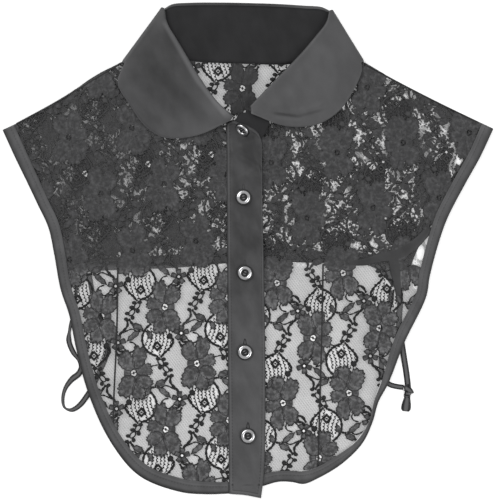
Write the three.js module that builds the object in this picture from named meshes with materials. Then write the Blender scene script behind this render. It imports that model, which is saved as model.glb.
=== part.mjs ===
// A detachable peter pan collar: a buttoned lace bib with a satin collar, laid flat on its back.
//
// X runs to the garment's right as it is seen from above, Y from the hem to the neck and Z up from
// the surface that it lies on. Every cloth piece is a closed wall. A flat piece is a patch between
// its four edges, raised to the height at which it lies. The collar and its neck band form a ring
// that is pressed flat: their back half lies below, they turn over at the two sides of the neck,
// and the front half lies on the fronts.
import * as THREE from "three";

// Driving dimensions, in millimetres.
const SEAM_GAP = 0.3;
const NECK_SEAM_GAP = 0.4; // where the two walls meet at a slight angle
const LACE_WALL = 1.0;
const NECK_BAND_WALL = 1.1;
const COLLAR_WALL = 1.4;
const PLACKET_WALL = 1.2;
const BACK_BINDING_WALL = 1.2;
const FRONT_BINDING_WALL = 1.5;
const RIBBON = { width: 4.2, wall: 0.7, step: 8 };
const BUTTON = { radius: 6.5, height: 2.4, rim: 1.6, dish: 0.9, tiltRise: 0.65 };

// Heights at which the layers lie.
const YOKE_RISE = 2.0; // the yoke's underside at the neck, where it lies on the back of the collar
const FRONT_ON_YOKE = 1.5; // the fronts' underside over the yoke's
const RING_CENTRE = 3.2; // the height halfway through the flattened collar
const COLLAR_OFFSET = 2.5; // the collar's middle surface from the ring's centre
const ROLL_OFFSET = 0.85; // its sewn edge, inside the roll
const LEAF_ON_FRONT = 2.2; // the leaf's middle surface over a front's underside
const BAND_ON_YOKE = 0.65; // the neck band's middle surface over a front's underside
const SEWN_EDGE = 1.2; // how far the collar's edge reaches in under its roll
const ROLL_PUFF = 2.0; // how much the roll stands up at the middle of a leaf
const ROLL_DROP = 0.3; // the roll's sewn edge, under that height in front
const BAND_DROP = 0.15; // the band's middle surface, under the collar's sewn edge
const PLACKET_ON_FRONT = 1.8; // the upper button band over the fronts' underside
const PLACKET_BESIDE_FRONT = 0.2; // its sewn edge, beside the left front
const LEAF_ON_PLACKET = 1.95; // what the leaf's tip climbs to lie on the upper button band

// Where the layers climb over each other: plan ellipses, and lines of X or Y from low to high.
const NECK_RISE = { x: -4, y: 175, halfWidth: 112, halfLength: 40, ends: 1.9 };
const YOKE_HEM_RISE = { from: -62, to: -25 };
const TIES_RISE = { fromX: 78, toX: 98, fromY: -156, toY: -132 };
const STAND_END = { x: -3, y: 106, rise: 6, spreadX: 10, spreadY: 7 }; // the fastened front stands up
const UNDER_BAND_RISE = { fromX: -17.6, toX: -13.4 };
const UNDER_BAND_END = { fromX: 8, toX: 2, fromY: 84, toY: 96 };
const PLACKET_RISE = { left: -32, leftTop: -18, rightTop: 12, right: 24 };

// The part's finishes.
const FINISHES = {
  lace: { color: 0x2c2c2e, roughness: 0.85, metalness: 0 },
  satin: { color: 0x3d3d40, roughness: 0.5, metalness: 0 },
  ribbon: { color: 0x333335, roughness: 0.4, metalness: 0 },
  button: { color: 0x9a9a9e, roughness: 0.25, metalness: 1 },
};

// Bound edges, from the shoulder tip down the armhole to the front or the hem's corner.
const FRONT_EDGE_LEFT = [
  { x: -201, y: 99.5, width: 9.5 },
  { x: -191, y: 77.5, width: 9.5 },
  { x: -182, y: 59, width: 9 },
  { x: -172, y: 38, width: 8.5 },
  { x: -163.5, y: 19.5, width: 8.5 },
  { x: -159, y: -1, width: 8.2 },
  { x: -153.5, y: -31, width: 8 },
  { x: -146.5, y: -52, width: 8 },
  { x: -140.5, y: -81, width: 8 },
  { x: -130, y: -118.5, width: 8 },
  { x: -111.5, y: -158, width: 8 },
  { x: -89, y: -184, width: 8 },
  { x: -56, y: -197, width: 8 },
  { x: -35, y: -199, width: 8 },
  { x: -15.4, y: -198.5, width: 8 },
];
const FRONT_EDGE_RIGHT = [
  { x: 201, y: 100.5, width: 9.5 },
  { x: 190, y: 77, width: 9 },
  { x: 178, y: 55.5, width: 9 },
  { x: 163.5, y: 27.5, width: 9 },
  { x: 156.5, y: 8, width: 8.5 },
  { x: 149, y: -20, width: 8 },
  { x: 146, y: -37, width: 8 },
  { x: 128, y: -75, width: 8 },
  { x: 115, y: -108, width: 6 },
  { x: 107, y: -123, width: 3.5 },
  { x: 102, y: -140, width: 2.6 },
  { x: 94, y: -157, width: 5 },
  { x: 77, y: -174, width: 7 },
  { x: 54, y: -186.5, width: 8 },
  { x: 36, y: -189, width: 8.5 },
  { x: 11.6, y: -192.5, width: 9 },
];
const BACK_EDGE_LEFT = [
  { x: -200, y: 99.3, width: 8.5 },
  { x: -188, y: 76, width: 8.5 },
  { x: -177, y: 56, width: 8.5 },
  { x: -163, y: 26, width: 8.5 },
  { x: -153, y: 2, width: 8.5 },
  { x: -145.8, y: -20.5, width: 8.5 },
];
const BACK_EDGE_RIGHT = [
  { x: 200, y: 100.2, width: 8.5 },
  { x: 188, y: 76, width: 8.5 },
  { x: 170, y: 49, width: 8.5 },
  { x: 150, y: 21, width: 8.5 },
  { x: 137, y: -3, width: 8.5 },
  { x: 127.5, y: -33, width: 6 },
];
const BACK_HEM = [
  { x: -137.3, y: -18, width: 8.5 },
  { x: -128, y: -15, width: 8.5 },
  { x: -114, y: -13.6, width: 8.5 },
  { x: -98, y: -13.4, width: 8.5 },
  { x: -60, y: -12, width: 8.5 },
  { x: 0, y: -8, width: 8.5 },
  { x: 60, y: -9, width: 8.5 },
  { x: 84, y: -9.8, width: 8.5 },
  { x: 100, y: -12, width: 8.5 },
  { x: 110, y: -18.5, width: 7 },
  { x: 118.4, y: -29.5, width: 4.2 },
];

// How far along each front's bound edge the side ends and the bottom begins.
const SIDE_SHARE = 0.66;

// Shoulders between the binding and the neck.
const SHOULDER_LEFT = [[-151, 126.5], [-124, 144.5], [-103.5, 155]];
const SHOULDER_RIGHT = [[128, 135.7], [112, 145], [96, 154.3]];

// The collar in plan: its roll, its free edge, and the neck band's seam, from the front to the side.
const COLLAR_LEFT = [
  { roll: [-12.5, 110], edge: [-14.5, 106.6], seam: [-15.5, 105.5] },
  { roll: [-26, 123], edge: [-42.5, 94.7], seam: [-33, 113] },
  { roll: [-39.5, 141.5], edge: [-68, 93], seam: [-52, 126] },
  { roll: [-49.5, 158], edge: [-83.5, 102], seam: [-66, 141] },
  { roll: [-58.5, 173], edge: [-96, 119.5], seam: [-76, 154] },
  { roll: [-66.5, 187], edge: [-105.8, 137], seam: [-82, 162] },
  { roll: [-68.5, 198.3], edge: [-101, 157.4], seam: [-84, 166.5] },
];
const COLLAR_RIGHT = [
  { roll: [2, 118.2], edge: [2.5, 112.3], seam: [7, 104] },
  { roll: [16, 133], edge: [31, 102.5], seam: [24, 111] },
  { roll: [31, 148.5], edge: [57, 104], seam: [42, 122.5] },
  { roll: [44, 162], edge: [75, 115.5], seam: [57, 136] },
  { roll: [55.5, 175.5], edge: [87, 133], seam: [69, 150] },
  { roll: [64.5, 187.5], edge: [95, 148], seam: [76, 160] },
  { roll: [66.9, 196.6], edge: [92.7, 157.3], seam: [78, 165] },
];
// The same round the back, from the left side to the right.
const COLLAR_BACK = [
  { roll: [-68.5, 198.3], edge: [-101, 157.4], seam: [-84, 166.5] },
  { roll: [-62, 202], edge: [-86, 158.5], seam: [-69, 161] },
  { roll: [-48, 203.2], edge: [-63, 160.5], seam: [-50, 157] },
  { roll: [-24, 203.4], edge: [-30, 162], seam: [-25, 155.3] },
  { roll: [0, 203], edge: [0, 162.5], seam: [0, 154.5] },
  { roll: [25, 202.2], edge: [29, 162], seam: [25, 154] },
  { roll: [47, 200.8], edge: [59, 159.5], seam: [47, 155.5] },
  { roll: [60, 199.8], edge: [78, 157.8], seam: [64, 159.5] },
  { roll: [66.9, 196.6], edge: [92.7, 157.3], seam: [78, 165] },
];
const BAND_START = 2; // the neck band begins a little way round from the collar's tips
const LEAF_STATIONS = 15;
const BACK_STATIONS = 16;
const FOLD_STATIONS = 6;

// The upper button band, which carries the buttons, and the one below it.
const PLACKET_SIDE = [[-15, -198.5], [-15.6, -120], [-16.6, 0], [-17.2, 105]];
const PLACKET_FREE_EDGE = [[10.7, -202.1], [13.2, -181], [14.4, -122], [13.2, -20], [11.8, 50], [11.5, 89]];
const PLACKET_TOP = [[-17.2, 105], [-12.3, 107.4], [-6.6, 105], [1.6, 102], [8.2, 97.2], [11.5, 89]];
const UNDER_BAND = { left: -12.6, right: 9.3, bottom: -191, top: 84 };
const BUTTONS = [
  { x: -4.1, y: 99.6, tilt: 48, lean: 38 },
  { x: -3.7, y: 44.3, tilt: 0, lean: 0 },
  { x: -2.5, y: -17.6, tilt: 0, lean: 0 },
  { x: -2.5, y: -82.4, tilt: 0, lean: 0 },
  { x: 0, y: -150.9, tilt: 0, lean: 0 },
];

// Ribbon ties, from the yoke's lower corners.
const TIE_LEFT = [
  [-130.5, -17.8], [-127, -36], [-121.5, -53], [-116.4, -66], [-114.6, -77], [-116.5, -86.5],
  [-120.5, -96], [-125.5, -107], [-131.5, -117.5], [-138.4, -126.4], [-145, -130], [-150.3, -128],
  [-151.8, -121.6], [-149.9, -112.6], [-144.6, -105], [-138.8, -100.2], [-136.6, -95],
  [-138.6, -89.3], [-143.6, -82], [-146.8, -73.4], [-146.4, -65.2], [-144, -54.5],
  [-141.8, -42.2], [-140.4, -26.6],
];
const TIE_RIGHT_OUTER = [
  [124.6, -33.4], [124.6, -44], [123.8, -54.5], [124.2, -64.4], [126.3, -76.7], [127.9, -87.3],
  [129.6, -98], [131, -109.5],
];
const TIE_RIGHT_INNER = [
  [117.6, -31.8], [117.2, -41.4], [113.6, -51.3], [110.5, -64.4], [109.7, -76.7], [109.5, -87.3],
  [110.7, -98], [114.4, -106.2], [119.7, -110.9], [126.9, -113],
];
const TIE_RIGHT_TAIL = [[130.6, -119.2], [129.9, -125], [129.2, -131]];
const KNOT = { x: 131.2, y: -114.4, width: 8.4, length: 10.4, height: 3.2 };

const group = new THREE.Group();

// ---- numbers and lines ----

const mix = (a, b, share) => a + (b - a) * share;

function smooth(value, from, to) {
  const share = Math.min(Math.max((value - from) / (to - from), 0), 1);
  return share * share * (3 - 2 * share);
}

const fadeIn = (value, from, to) => (from < to ? smooth(value, from, to) : 1 - smooth(value, to, from));

const hump = (offset, spread) => Math.exp(-(offset * offset) / (2 * spread * spread));

const plan = ([x, y]) => new THREE.Vector2(x, y);

// Points at even steps along a soft line through the given ones.
function softLine(points, steps) {
  const knots = points.map(([x, y]) => new THREE.Vector3(x, y, 0));
  const line = new THREE.CatmullRomCurve3(knots, false, "centripetal");
  return line.getSpacedPoints(steps).map((p) => new THREE.Vector2(p.x, p.y));
}

// ---- heights of the layers ----

// 1 over the collar's back, falling to 0 away from the neck.
function neckShare(x, y) {
  const { halfWidth, halfLength, ends } = NECK_RISE;
  const distance = Math.hypot((x - NECK_RISE.x) / halfWidth, (y - NECK_RISE.y) / halfLength);
  return fadeIn(distance, ends, 1);
}

const yokeFloor = (x, y) => YOKE_RISE * neckShare(x, y);

// The fronts lie on the yoke, come down to the surface below its hem, and clear the ties at the sides.
function frontFloor(x, y) {
  const { fromX, toX, fromY, toY } = TIES_RISE;
  const onYoke = fadeIn(y, YOKE_HEM_RISE.from, YOKE_HEM_RISE.to);
  const onTies = fadeIn(Math.abs(x), fromX, toX) * fadeIn(y, fromY, toY);
  return yokeFloor(x, y) + FRONT_ON_YOKE * (onYoke + onTies - onYoke * onTies);
}

function standEnd(x, y) {
  const { rise, spreadX, spreadY } = STAND_END;
  return rise * hump(x - STAND_END.x, spreadX) * hump(y - STAND_END.y, spreadY);
}

// The upper button band starts beside the left front, climbs over the lower band and ends on the
// stand, where the lower band has ended.
function placketFloor(x, y) {
  const { fromX, toX, fromY, toY } = UNDER_BAND_END;
  const pastUnderBand = fadeIn(y, fromY, toY) * fadeIn(x, fromX, toX);
  const onUnderBand = fadeIn(x, UNDER_BAND_RISE.fromX, UNDER_BAND_RISE.toX) * (1 - pastUnderBand);
  const lift = mix(PLACKET_BESIDE_FRONT, PLACKET_ON_FRONT, onUnderBand);
  return frontFloor(x, y) + lift + standEnd(x, y);
}

// How far a collar leaf is lifted near the fastened front.
function tipLift(x, y) {
  const { left, leftTop, rightTop, right } = PLACKET_RISE;
  return standEnd(x, y) + LEAF_ON_PLACKET * fadeIn(x, left, leftTop) * fadeIn(x, right, rightTop);
}

// ---- closed walls ----

// A closed body between two grids of points, the upper and the lower face of one wall.
function closedWall(upper, lower) {
  const rows = upper.length;
  const columns = upper[0].length;
  const corners = [...upper.flat(), ...lower.flat()];
  const at = (row, column, face) => face * rows * columns + row * columns + column;
  const triangles = [];
  const quad = (a, b, c, d) => triangles.push(a, b, c, a, c, d);
  for (let i = 0; i + 1 < rows; i += 1) {
    for (let j = 0; j + 1 < columns; j += 1) {
      quad(at(i, j, 0), at(i + 1, j, 0), at(i + 1, j + 1, 0), at(i, j + 1, 0));
      quad(at(i, j, 1), at(i, j + 1, 1), at(i + 1, j + 1, 1), at(i + 1, j, 1));
    }
    const last = columns - 1;
    quad(at(i, 0, 1), at(i + 1, 0, 1), at(i + 1, 0, 0), at(i, 0, 0));
    quad(at(i, last, 0), at(i + 1, last, 0), at(i + 1, last, 1), at(i, last, 1));
  }
  for (let j = 0; j + 1 < columns; j += 1) {
    const last = rows - 1;
    quad(at(0, j, 0), at(0, j + 1, 0), at(0, j + 1, 1), at(0, j, 1));
    quad(at(last, j, 1), at(last, j + 1, 1), at(last, j + 1, 0), at(last, j, 0));
  }
  if (volume(corners, triangles) < 0) triangles.reverse();
  const geometry = new THREE.BufferGeometry().setFromPoints(corners);
  geometry.setIndex(triangles);
  geometry.computeVertexNormals();
  return geometry;
}

function volume(corners, triangles) {
  let total = 0;
  for (let i = 0; i < triangles.length; i += 3) {
    const [a, b, c] = triangles.slice(i, i + 3).map((corner) => corners[corner]);
    total += a.dot(new THREE.Vector3().crossVectors(b, c)) / 6;
  }
  return total;
}

function addPiece(name, finish, geometry) {
  const mesh = new THREE.Mesh(geometry, new THREE.MeshStandardMaterial(FINISHES[finish]));
  mesh.name = name;
  group.add(mesh);
  return mesh;
}

// A piece of even height over its underside, which is a height above each point of the plan.
function addFlatPiece(name, finish, grid, floor, wall) {
  const lower = grid.map((row) => row.map((p) => new THREE.Vector3(p.x, p.y, floor(p.x, p.y))));
  const upper = lower.map((row) => row.map((p) => p.clone().setZ(p.z + wall)));
  return addPiece(name, finish, closedWall(upper, lower));
}

// A folded piece, thickened to both sides of its middle surface.
function addFoldedPiece(name, finish, middle, wall) {
  const offset = (sign) => middle.map((row, i) =>
    row.map((p, j) => p.clone().addScaledVector(gridNormal(middle, i, j), (sign * wall) / 2)));
  return addPiece(name, finish, closedWall(offset(1), offset(-1)));
}

function gridNormal(grid, i, j) {
  const row = (k) => grid[Math.min(Math.max(k, 0), grid.length - 1)];
  const across = Math.min(j + 1, grid[i].length - 1);
  const along = row(i + 1)[j].clone().sub(row(i - 1)[j]);
  const over = grid[i][across].clone().sub(grid[i][Math.max(j - 1, 0)]);
  return along.cross(over).normalize();
}

// A patch between four edges. Left and right run upwards, bottom and top from left to right.
function patch({ left, right, bottom, top }) {
  const rows = left.length - 1;
  const columns = bottom.length - 1;
  return left.map((leftPoint, i) => bottom.map((bottomPoint, j) => {
    const up = i / rows;
    const over = j / columns;
    const sides = leftPoint.clone().lerp(right[i], over);
    const ends = bottomPoint.clone().lerp(top[j], up);
    const low = left[0].clone().lerp(right[0], over);
    const high = left[rows].clone().lerp(right[rows], over);
    return sides.add(ends).sub(low.lerp(high, up));
  }));
}

// ---- bindings ----

// Matched points of a binding's outer edge, its inner edge, and the cloth's edge beside it.
// The cloth lies to the left of the way that the rows run where side is 1, to the right for -1.
function boundEdge(rows, steps, side) {
  const knots = rows.map(({ x, y, width }) => new THREE.Vector3(x, y, width));
  const line = new THREE.CatmullRomCurve3(knots, false, "centripetal");
  return Array.from({ length: steps + 1 }, (_, k) => {
    const place = line.getPointAt(k / steps);
    const way = line.getTangentAt(k / steps);
    const inward = new THREE.Vector2(-way.y, way.x).normalize().multiplyScalar(side);
    const outer = new THREE.Vector2(place.x, place.y);
    const inner = outer.clone().addScaledVector(inward, place.z);
    return { outer, inner, cloth: inner.clone().addScaledVector(inward, SEAM_GAP) };
  });
}

function addBinding(name, edge, floor, wall) {
  const grid = edge.map(({ outer, inner }) => [outer, outer.clone().lerp(inner, 0.5), inner]);
  addFlatPiece(name, "satin", grid, floor, wall);
}

// ---- the collar's ring ----

// Sections through the flattened ring, each with its plan points, how far it has turned over
// (0 in front, pi at the back), and the way out at a side.
function sampleRows(rows, count) {
  const line = (column) => new THREE.CatmullRomCurve3(
    rows.map((row) => new THREE.Vector3(...row[column], 0)), false, "centripetal");
  const lines = { roll: line("roll"), edge: line("edge"), seam: line("seam") };
  return Array.from({ length: count + 1 }, (_, k) => {
    const station = { share: k / count };
    for (const [column, curve] of Object.entries(lines)) {
      const p = curve.getPoint(k / count);
      station[column] = new THREE.Vector2(p.x, p.y);
    }
    return station;
  });
}

function foldStations(row, side) {
  const station = { roll: plan(row.roll), edge: plan(row.edge), seam: plan(row.seam), share: 1 };
  return Array.from({ length: FOLD_STATIONS - 1 }, (_, k) =>
    ({ ...station, side, turn: (Math.PI * (k + 1)) / FOLD_STATIONS }));
}

const leftFront = sampleRows(COLLAR_LEFT, LEAF_STATIONS).map((s) => ({ ...s, side: -1, turn: 0 }));
const rightFront = sampleRows(COLLAR_RIGHT, LEAF_STATIONS).map((s) => ({ ...s, side: 1, turn: 0 }));
const back = sampleRows(COLLAR_BACK, BACK_STATIONS).map((s) => ({ ...s, side: 1, turn: Math.PI }));
const ring = [
  ...leftFront,
  ...foldStations(COLLAR_LEFT.at(-1), -1),
  ...back,
  ...foldStations(COLLAR_RIGHT.at(-1), 1).reverse(),
  ...rightFront.reverse(),
];

// The place of a section's point: along is its distance from the roll, out its distance from the
// ring's centre.
function ringPoint(station, target, along, out) {
  const { roll, turn, side } = station;
  const reach = rollOf(station).radius + SEWN_EDGE + SEAM_GAP;
  const way = wayTo(station, "edge").add(wayTo(station, "seam")).normalize();
  const place = roll.clone().addScaledVector(way, Math.min(along, reach));
  place.lerp(target, Math.max(along - reach, 0) / (target.distanceTo(roll) - reach));
  place.addScaledVector(new THREE.Vector2(way.y, -way.x), -side * out * Math.sin(turn));
  return new THREE.Vector3(place.x, place.y, RING_CENTRE + out * Math.cos(turn));
}

const wayTo = (station, column) => station[column].clone().sub(station.roll).normalize();

// The roll's two offsets from the ring's centre, and its radius.
function rollOf(station) {
  if (station.turn > 0) return rollBetween(ROLL_OFFSET, COLLAR_OFFSET);
  const { x, y } = station.roll;
  const sewn = frontFloor(x, y) - RING_CENTRE + ROLL_OFFSET - ROLL_DROP + tipLift(x, y);
  const puff = ROLL_PUFF * Math.sin(Math.PI * station.share) ** 0.7;
  return rollBetween(sewn, sewn + COLLAR_OFFSET - ROLL_OFFSET + puff);
}

const rollBetween = (sewn, crown) => ({ sewn, crown, radius: (crown - sewn) / 2 });

function fallSection(station) {
  const { sewn, crown, radius } = rollOf(station);
  const width = station.edge.distanceTo(station.roll);
  const place = (along, out) => ringPoint(station, station.edge, along, out);
  const section = [place(radius + SEWN_EDGE, sewn), place(radius + SEWN_EDGE / 3, sewn)];
  for (let step = 0; step <= 4; step += 1) {
    const angle = (Math.PI * step) / 4;
    section.push(place(radius * (1 - Math.sin(angle)), sewn + radius * (1 - Math.cos(angle))));
  }
  for (const share of [0.08, 0.18, 0.3, 0.45, 0.62, 0.8, 1]) {
    const along = mix(radius, width, share);
    const flat = place(along, 0);
    const lie = station.turn > 0
      ? COLLAR_OFFSET
      : frontFloor(flat.x, flat.y) + LEAF_ON_FRONT - RING_CENTRE + tipLift(flat.x, flat.y);
    section.push(place(along, mix(crown, lie, smooth(along, radius, radius + Math.min(24, width * 0.8)))));
  }
  return section;
}

function bandSection(station) {
  const { sewn, radius } = rollOf(station);
  const width = station.seam.distanceTo(station.roll);
  return [0, 0.25, 0.5, 0.75, 1].map((share) => {
    const along = mix(radius + SEWN_EDGE + SEAM_GAP, width, share);
    const flat = ringPoint(station, station.seam, along, 0);
    const lie = station.turn > 0
      ? ROLL_OFFSET - BAND_DROP
      : frontFloor(flat.x, flat.y) + BAND_ON_YOKE - RING_CENTRE;
    return ringPoint(station, station.seam, along, mix(sewn - BAND_DROP, lie, smooth(share, 0, 0.7)));
  });
}

// The panels' neck edge, just outside the band's seam.
function neckEdge(stations) {
  return stations.map(({ roll, seam }, k) => {
    const before = stations[Math.max(k - 1, 0)].seam;
    const after = stations[Math.min(k + 1, stations.length - 1)].seam;
    const across = after.clone().sub(before).normalize();
    across.set(-across.y, across.x);
    const outward = Math.sign(across.dot(seam.clone().sub(roll)));
    return seam.clone().addScaledVector(across, outward * NECK_SEAM_GAP);
  });
}

// ---- pieces ----

function addBack() {
  const left = boundEdge(BACK_EDGE_LEFT, 12, 1);
  const right = boundEdge(BACK_EDGE_RIGHT, 12, -1);
  const hem = boundEdge(BACK_HEM, 28, 1);
  addBinding("back_binding_left", left, yokeFloor, BACK_BINDING_WALL);
  addBinding("back_binding_right", right, yokeFloor, BACK_BINDING_WALL);
  addBinding("back_hem_binding", hem, yokeFloor, BACK_BINDING_WALL);
  const neck = neckEdge(back);
  const top = [
    ...shoulder(left[0].cloth, SHOULDER_LEFT, neck[0], 6).slice(0, -1),
    ...neck,
    ...shoulder(right[0].cloth, SHOULDER_RIGHT, neck.at(-1), 6).reverse().slice(1),
  ];
  const bottom = hem.map((edge) => edge.cloth);
  const downTo = (corner, edge) => [corner, ...edge.slice(0, -1).map((place) => place.cloth).reverse()];
  const grid = patch({ left: downTo(bottom[0], left), right: downTo(bottom.at(-1), right), bottom, top });
  addFlatPiece("back_yoke", "lace", grid, yokeFloor, LACE_WALL);
}

function shoulder(tip, middle, neck, steps) {
  return softLine([tip.toArray(), ...middle, neck.toArray()], steps);
}

// One front, from its bound side to the button band. The stations run from the button band to the
// side of the neck.
function addFront(name, { edgeRows, side, shoulderRows, stations, bandEdge, binding }) {
  const steps = 36;
  const edge = boundEdge(edgeRows, steps, side);
  addBinding(binding, edge, frontFloor, FRONT_BINDING_WALL);
  const cloth = edge.map((place) => place.cloth);
  const turnStep = Math.round(steps * SIDE_SHARE);
  const outerSide = cloth.slice(0, turnStep + 1).reverse();
  const hem = cloth.slice(turnStep);
  const neck = neckEdge(stations);
  const besideBand = softLine([hem.at(-1).toArray(), ...bandEdge], outerSide.length - 1 - neck.length);
  const innerSide = [...besideBand, ...neck];
  const top = shoulder(outerSide.at(-1), shoulderRows, neck.at(-1), hem.length - 1);
  const grid = patch({ left: outerSide, right: innerSide, bottom: hem, top });
  addFlatPiece(name, "lace", grid, frontFloor, LACE_WALL);
}

function addFronts() {
  addFront("front_left", {
    edgeRows: FRONT_EDGE_LEFT,
    side: 1,
    shoulderRows: SHOULDER_LEFT,
    stations: leftFront.slice(BAND_START),
    bandEdge: [...PLACKET_SIDE.slice(1, -1), [-17.2, 98]].map(([x, y]) => [x - SEAM_GAP, y]),
    binding: "binding_left",
  });
  addFront("front_right", {
    edgeRows: FRONT_EDGE_RIGHT,
    side: -1,
    shoulderRows: SHOULDER_RIGHT,
    stations: rightFront.toReversed().slice(BAND_START),
    bandEdge: [[UNDER_BAND.right + SEAM_GAP, 0], [UNDER_BAND.right + SEAM_GAP, 96]],
    binding: "binding_right",
  });
}

function addPlackets() {
  const steps = 24;
  const upper = patch({
    left: softLine(PLACKET_SIDE, steps),
    right: softLine(PLACKET_FREE_EDGE, steps),
    bottom: softLine([PLACKET_SIDE[0], [-2, -199.6], PLACKET_FREE_EDGE[0]], 8),
    top: softLine(PLACKET_TOP, 8),
  });
  addFlatPiece("placket_top", "satin", upper, placketFloor, PLACKET_WALL);
  const { left, right, bottom, top } = UNDER_BAND;
  const lower = patch({
    left: softLine([[left, bottom], [left, top]], steps),
    right: softLine([[right, bottom], [right, top]], steps),
    bottom: softLine([[left, bottom], [right, bottom]], 2),
    top: softLine([[left, top], [right, top]], 2),
  });
  addFlatPiece("placket_under", "satin", lower, frontFloor, PLACKET_WALL);
}

function addCollar() {
  addFoldedPiece("collar_fall", "satin", ring.map(fallSection), COLLAR_WALL);
  addFoldedPiece("neck_band", "satin", ring.slice(BAND_START, -BAND_START).map(bandSection), NECK_BAND_WALL);
}

// A dished disc with a raised rim, sewn through its middle.
function addButtons() {
  const { radius, height, rim, dish, tiltRise } = BUTTON;
  const profile = [
    [0, 0], [radius - 0.8, 0], [radius, 0.7], [radius, height - 0.7], [radius - 0.6, height],
    [radius - rim, height], [radius - rim - 0.9, height - dish], [0, height - dish],
  ];
  BUTTONS.forEach(({ x, y, tilt, lean }, index) => {
    const geometry = new THREE.LatheGeometry(profile.map(plan), 28).rotateX(Math.PI / 2);
    const button = addPiece(`button_${index + 1}`, "button", geometry);
    const rise = radius * Math.sin(THREE.MathUtils.degToRad(tilt)) * tiltRise;
    button.position.set(x, y, placketFloor(x, y) + PLACKET_WALL + SEAM_GAP + rise);
    const axis = new THREE.Vector3(1, 0, 0).applyAxisAngle(new THREE.Vector3(0, 0, 1),
      THREE.MathUtils.degToRad(-lean));
    button.quaternion.setFromAxisAngle(axis, THREE.MathUtils.degToRad(tilt));
  });
}

function addRibbon(name, route) {
  const height = RIBBON.wall / 2 + 0.05;
  const path = new THREE.CatmullRomCurve3(
    route.map(([x, y]) => new THREE.Vector3(x, y, height)), false, "centripetal");
  const [half, thick] = [RIBBON.width / 2, RIBBON.wall / 2];
  const section = new THREE.Shape([
    [thick, half - 0.5], [thick / 2, half], [-thick / 2, half], [-thick, half - 0.5],
    [-thick, 0.5 - half], [-thick / 2, -half], [thick / 2, -half], [thick, 0.5 - half],
  ].map(plan));
  const steps = Math.ceil(path.getLength() / RIBBON.step);
  const options = { extrudePath: path, steps, bevelEnabled: false };
  addPiece(name, "ribbon", new THREE.ExtrudeGeometry(section, options));
}

function addTies() {
  addRibbon("tie_left", TIE_LEFT);
  addRibbon("tie_right_outer", TIE_RIGHT_OUTER);
  addRibbon("tie_right_inner", TIE_RIGHT_INNER);
  addRibbon("tie_right_tail", TIE_RIGHT_TAIL);
  const { x, y, width, length, height } = KNOT;
  const geometry = new THREE.SphereGeometry(0.5, 14, 10).scale(width, length, height);
  addPiece("knot_right", "ribbon", geometry).position.set(x, y, height / 2);
}

addBack();
addFronts();
addPlackets();
addCollar();
addButtons();
addTies();

// The origin is the middle of the box that it fills, on the surface that it lies on.
const box = new THREE.Box3().setFromObject(group);
const middle = box.getCenter(new THREE.Vector3());
group.position.set(-middle.x, -middle.y, -box.min.z);

export default group;
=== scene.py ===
"""A detachable peter pan collar laid flat: lace fronts and back, a satin collar and ribbon ties.

Tables and sizes are in millimetres on the garment's own plan, with X to the right as seen from
above, Y towards the neck and Z up from the surface. `in_frame` turns them into metres in the frame.
"""

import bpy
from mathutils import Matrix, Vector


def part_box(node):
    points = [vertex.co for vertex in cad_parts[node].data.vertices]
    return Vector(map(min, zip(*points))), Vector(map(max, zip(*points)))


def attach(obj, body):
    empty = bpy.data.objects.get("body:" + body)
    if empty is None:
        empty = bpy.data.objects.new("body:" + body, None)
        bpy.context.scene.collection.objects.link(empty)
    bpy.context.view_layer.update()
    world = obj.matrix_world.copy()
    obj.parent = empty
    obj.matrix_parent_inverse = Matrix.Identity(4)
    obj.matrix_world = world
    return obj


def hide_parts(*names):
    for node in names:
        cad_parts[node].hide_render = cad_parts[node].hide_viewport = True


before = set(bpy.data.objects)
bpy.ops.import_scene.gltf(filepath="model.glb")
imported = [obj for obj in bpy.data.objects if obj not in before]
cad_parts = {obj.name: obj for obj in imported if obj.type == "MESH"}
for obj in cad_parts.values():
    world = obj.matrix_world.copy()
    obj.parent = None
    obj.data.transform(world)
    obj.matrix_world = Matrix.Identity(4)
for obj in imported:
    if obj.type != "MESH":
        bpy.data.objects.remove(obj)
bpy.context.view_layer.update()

import logging
import math
from dataclasses import dataclass, field
from enum import Enum
from typing import Callable, Iterable, Sequence

import bmesh
import bpy
import numpy as np
from mathutils import Matrix, Vector

log = logging.getLogger("collar")

Array = np.ndarray
Piece = bpy.types.Object
Material = bpy.types.Material
Row = Sequence[float]
Pair = tuple[float, float]
Height = Callable[[Array, Array], Array]

MM = 0.001
FULL_TURN = 2.0 * math.pi

# The lowest corner of the upper button band, on the plan, ties the plan to the frame.
LOWEST_CORNER_Y = -202.1
PLAN_TO_FRAME_Y = float(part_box("placket_top")[0][1]) / MM - LOWEST_CORNER_Y

SEAM_GAP = 0.3
UP = np.array([0.0, 0.0, 1.0])
LINE_SAMPLES = 400


# ---- lines and numbers ----

def fade(value: Array, start: float, end: float) -> Array:
    """Runs smoothly from 0 at start to 1 at end, which may be below start."""
    share = np.clip((np.asarray(value, float) - start) / (end - start), 0.0, 1.0)
    return share * share * (3.0 - 2.0 * share)


def hump(offset: Array, spread: float) -> Array:
    """A soft hump of height 1 round zero."""
    return np.exp(-np.square(offset) / (2.0 * spread * spread))


def mix(a: Array, b: Array, share: Array) -> Array:
    """The value a share of the way from a to b."""
    return a + (b - a) * share


def in_frame(points: Array) -> Array:
    """Rows of x, y and z on the plan, in millimetres, as metres in the frame."""
    return (np.asarray(points, float) + (0.0, PLAN_TO_FRAME_Y, 0.0)) * MM


def knot_share(gap: float) -> float:
    """The centripetal knot spacing of two points that far apart."""
    return max(gap, 1e-9) ** 0.5


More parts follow.
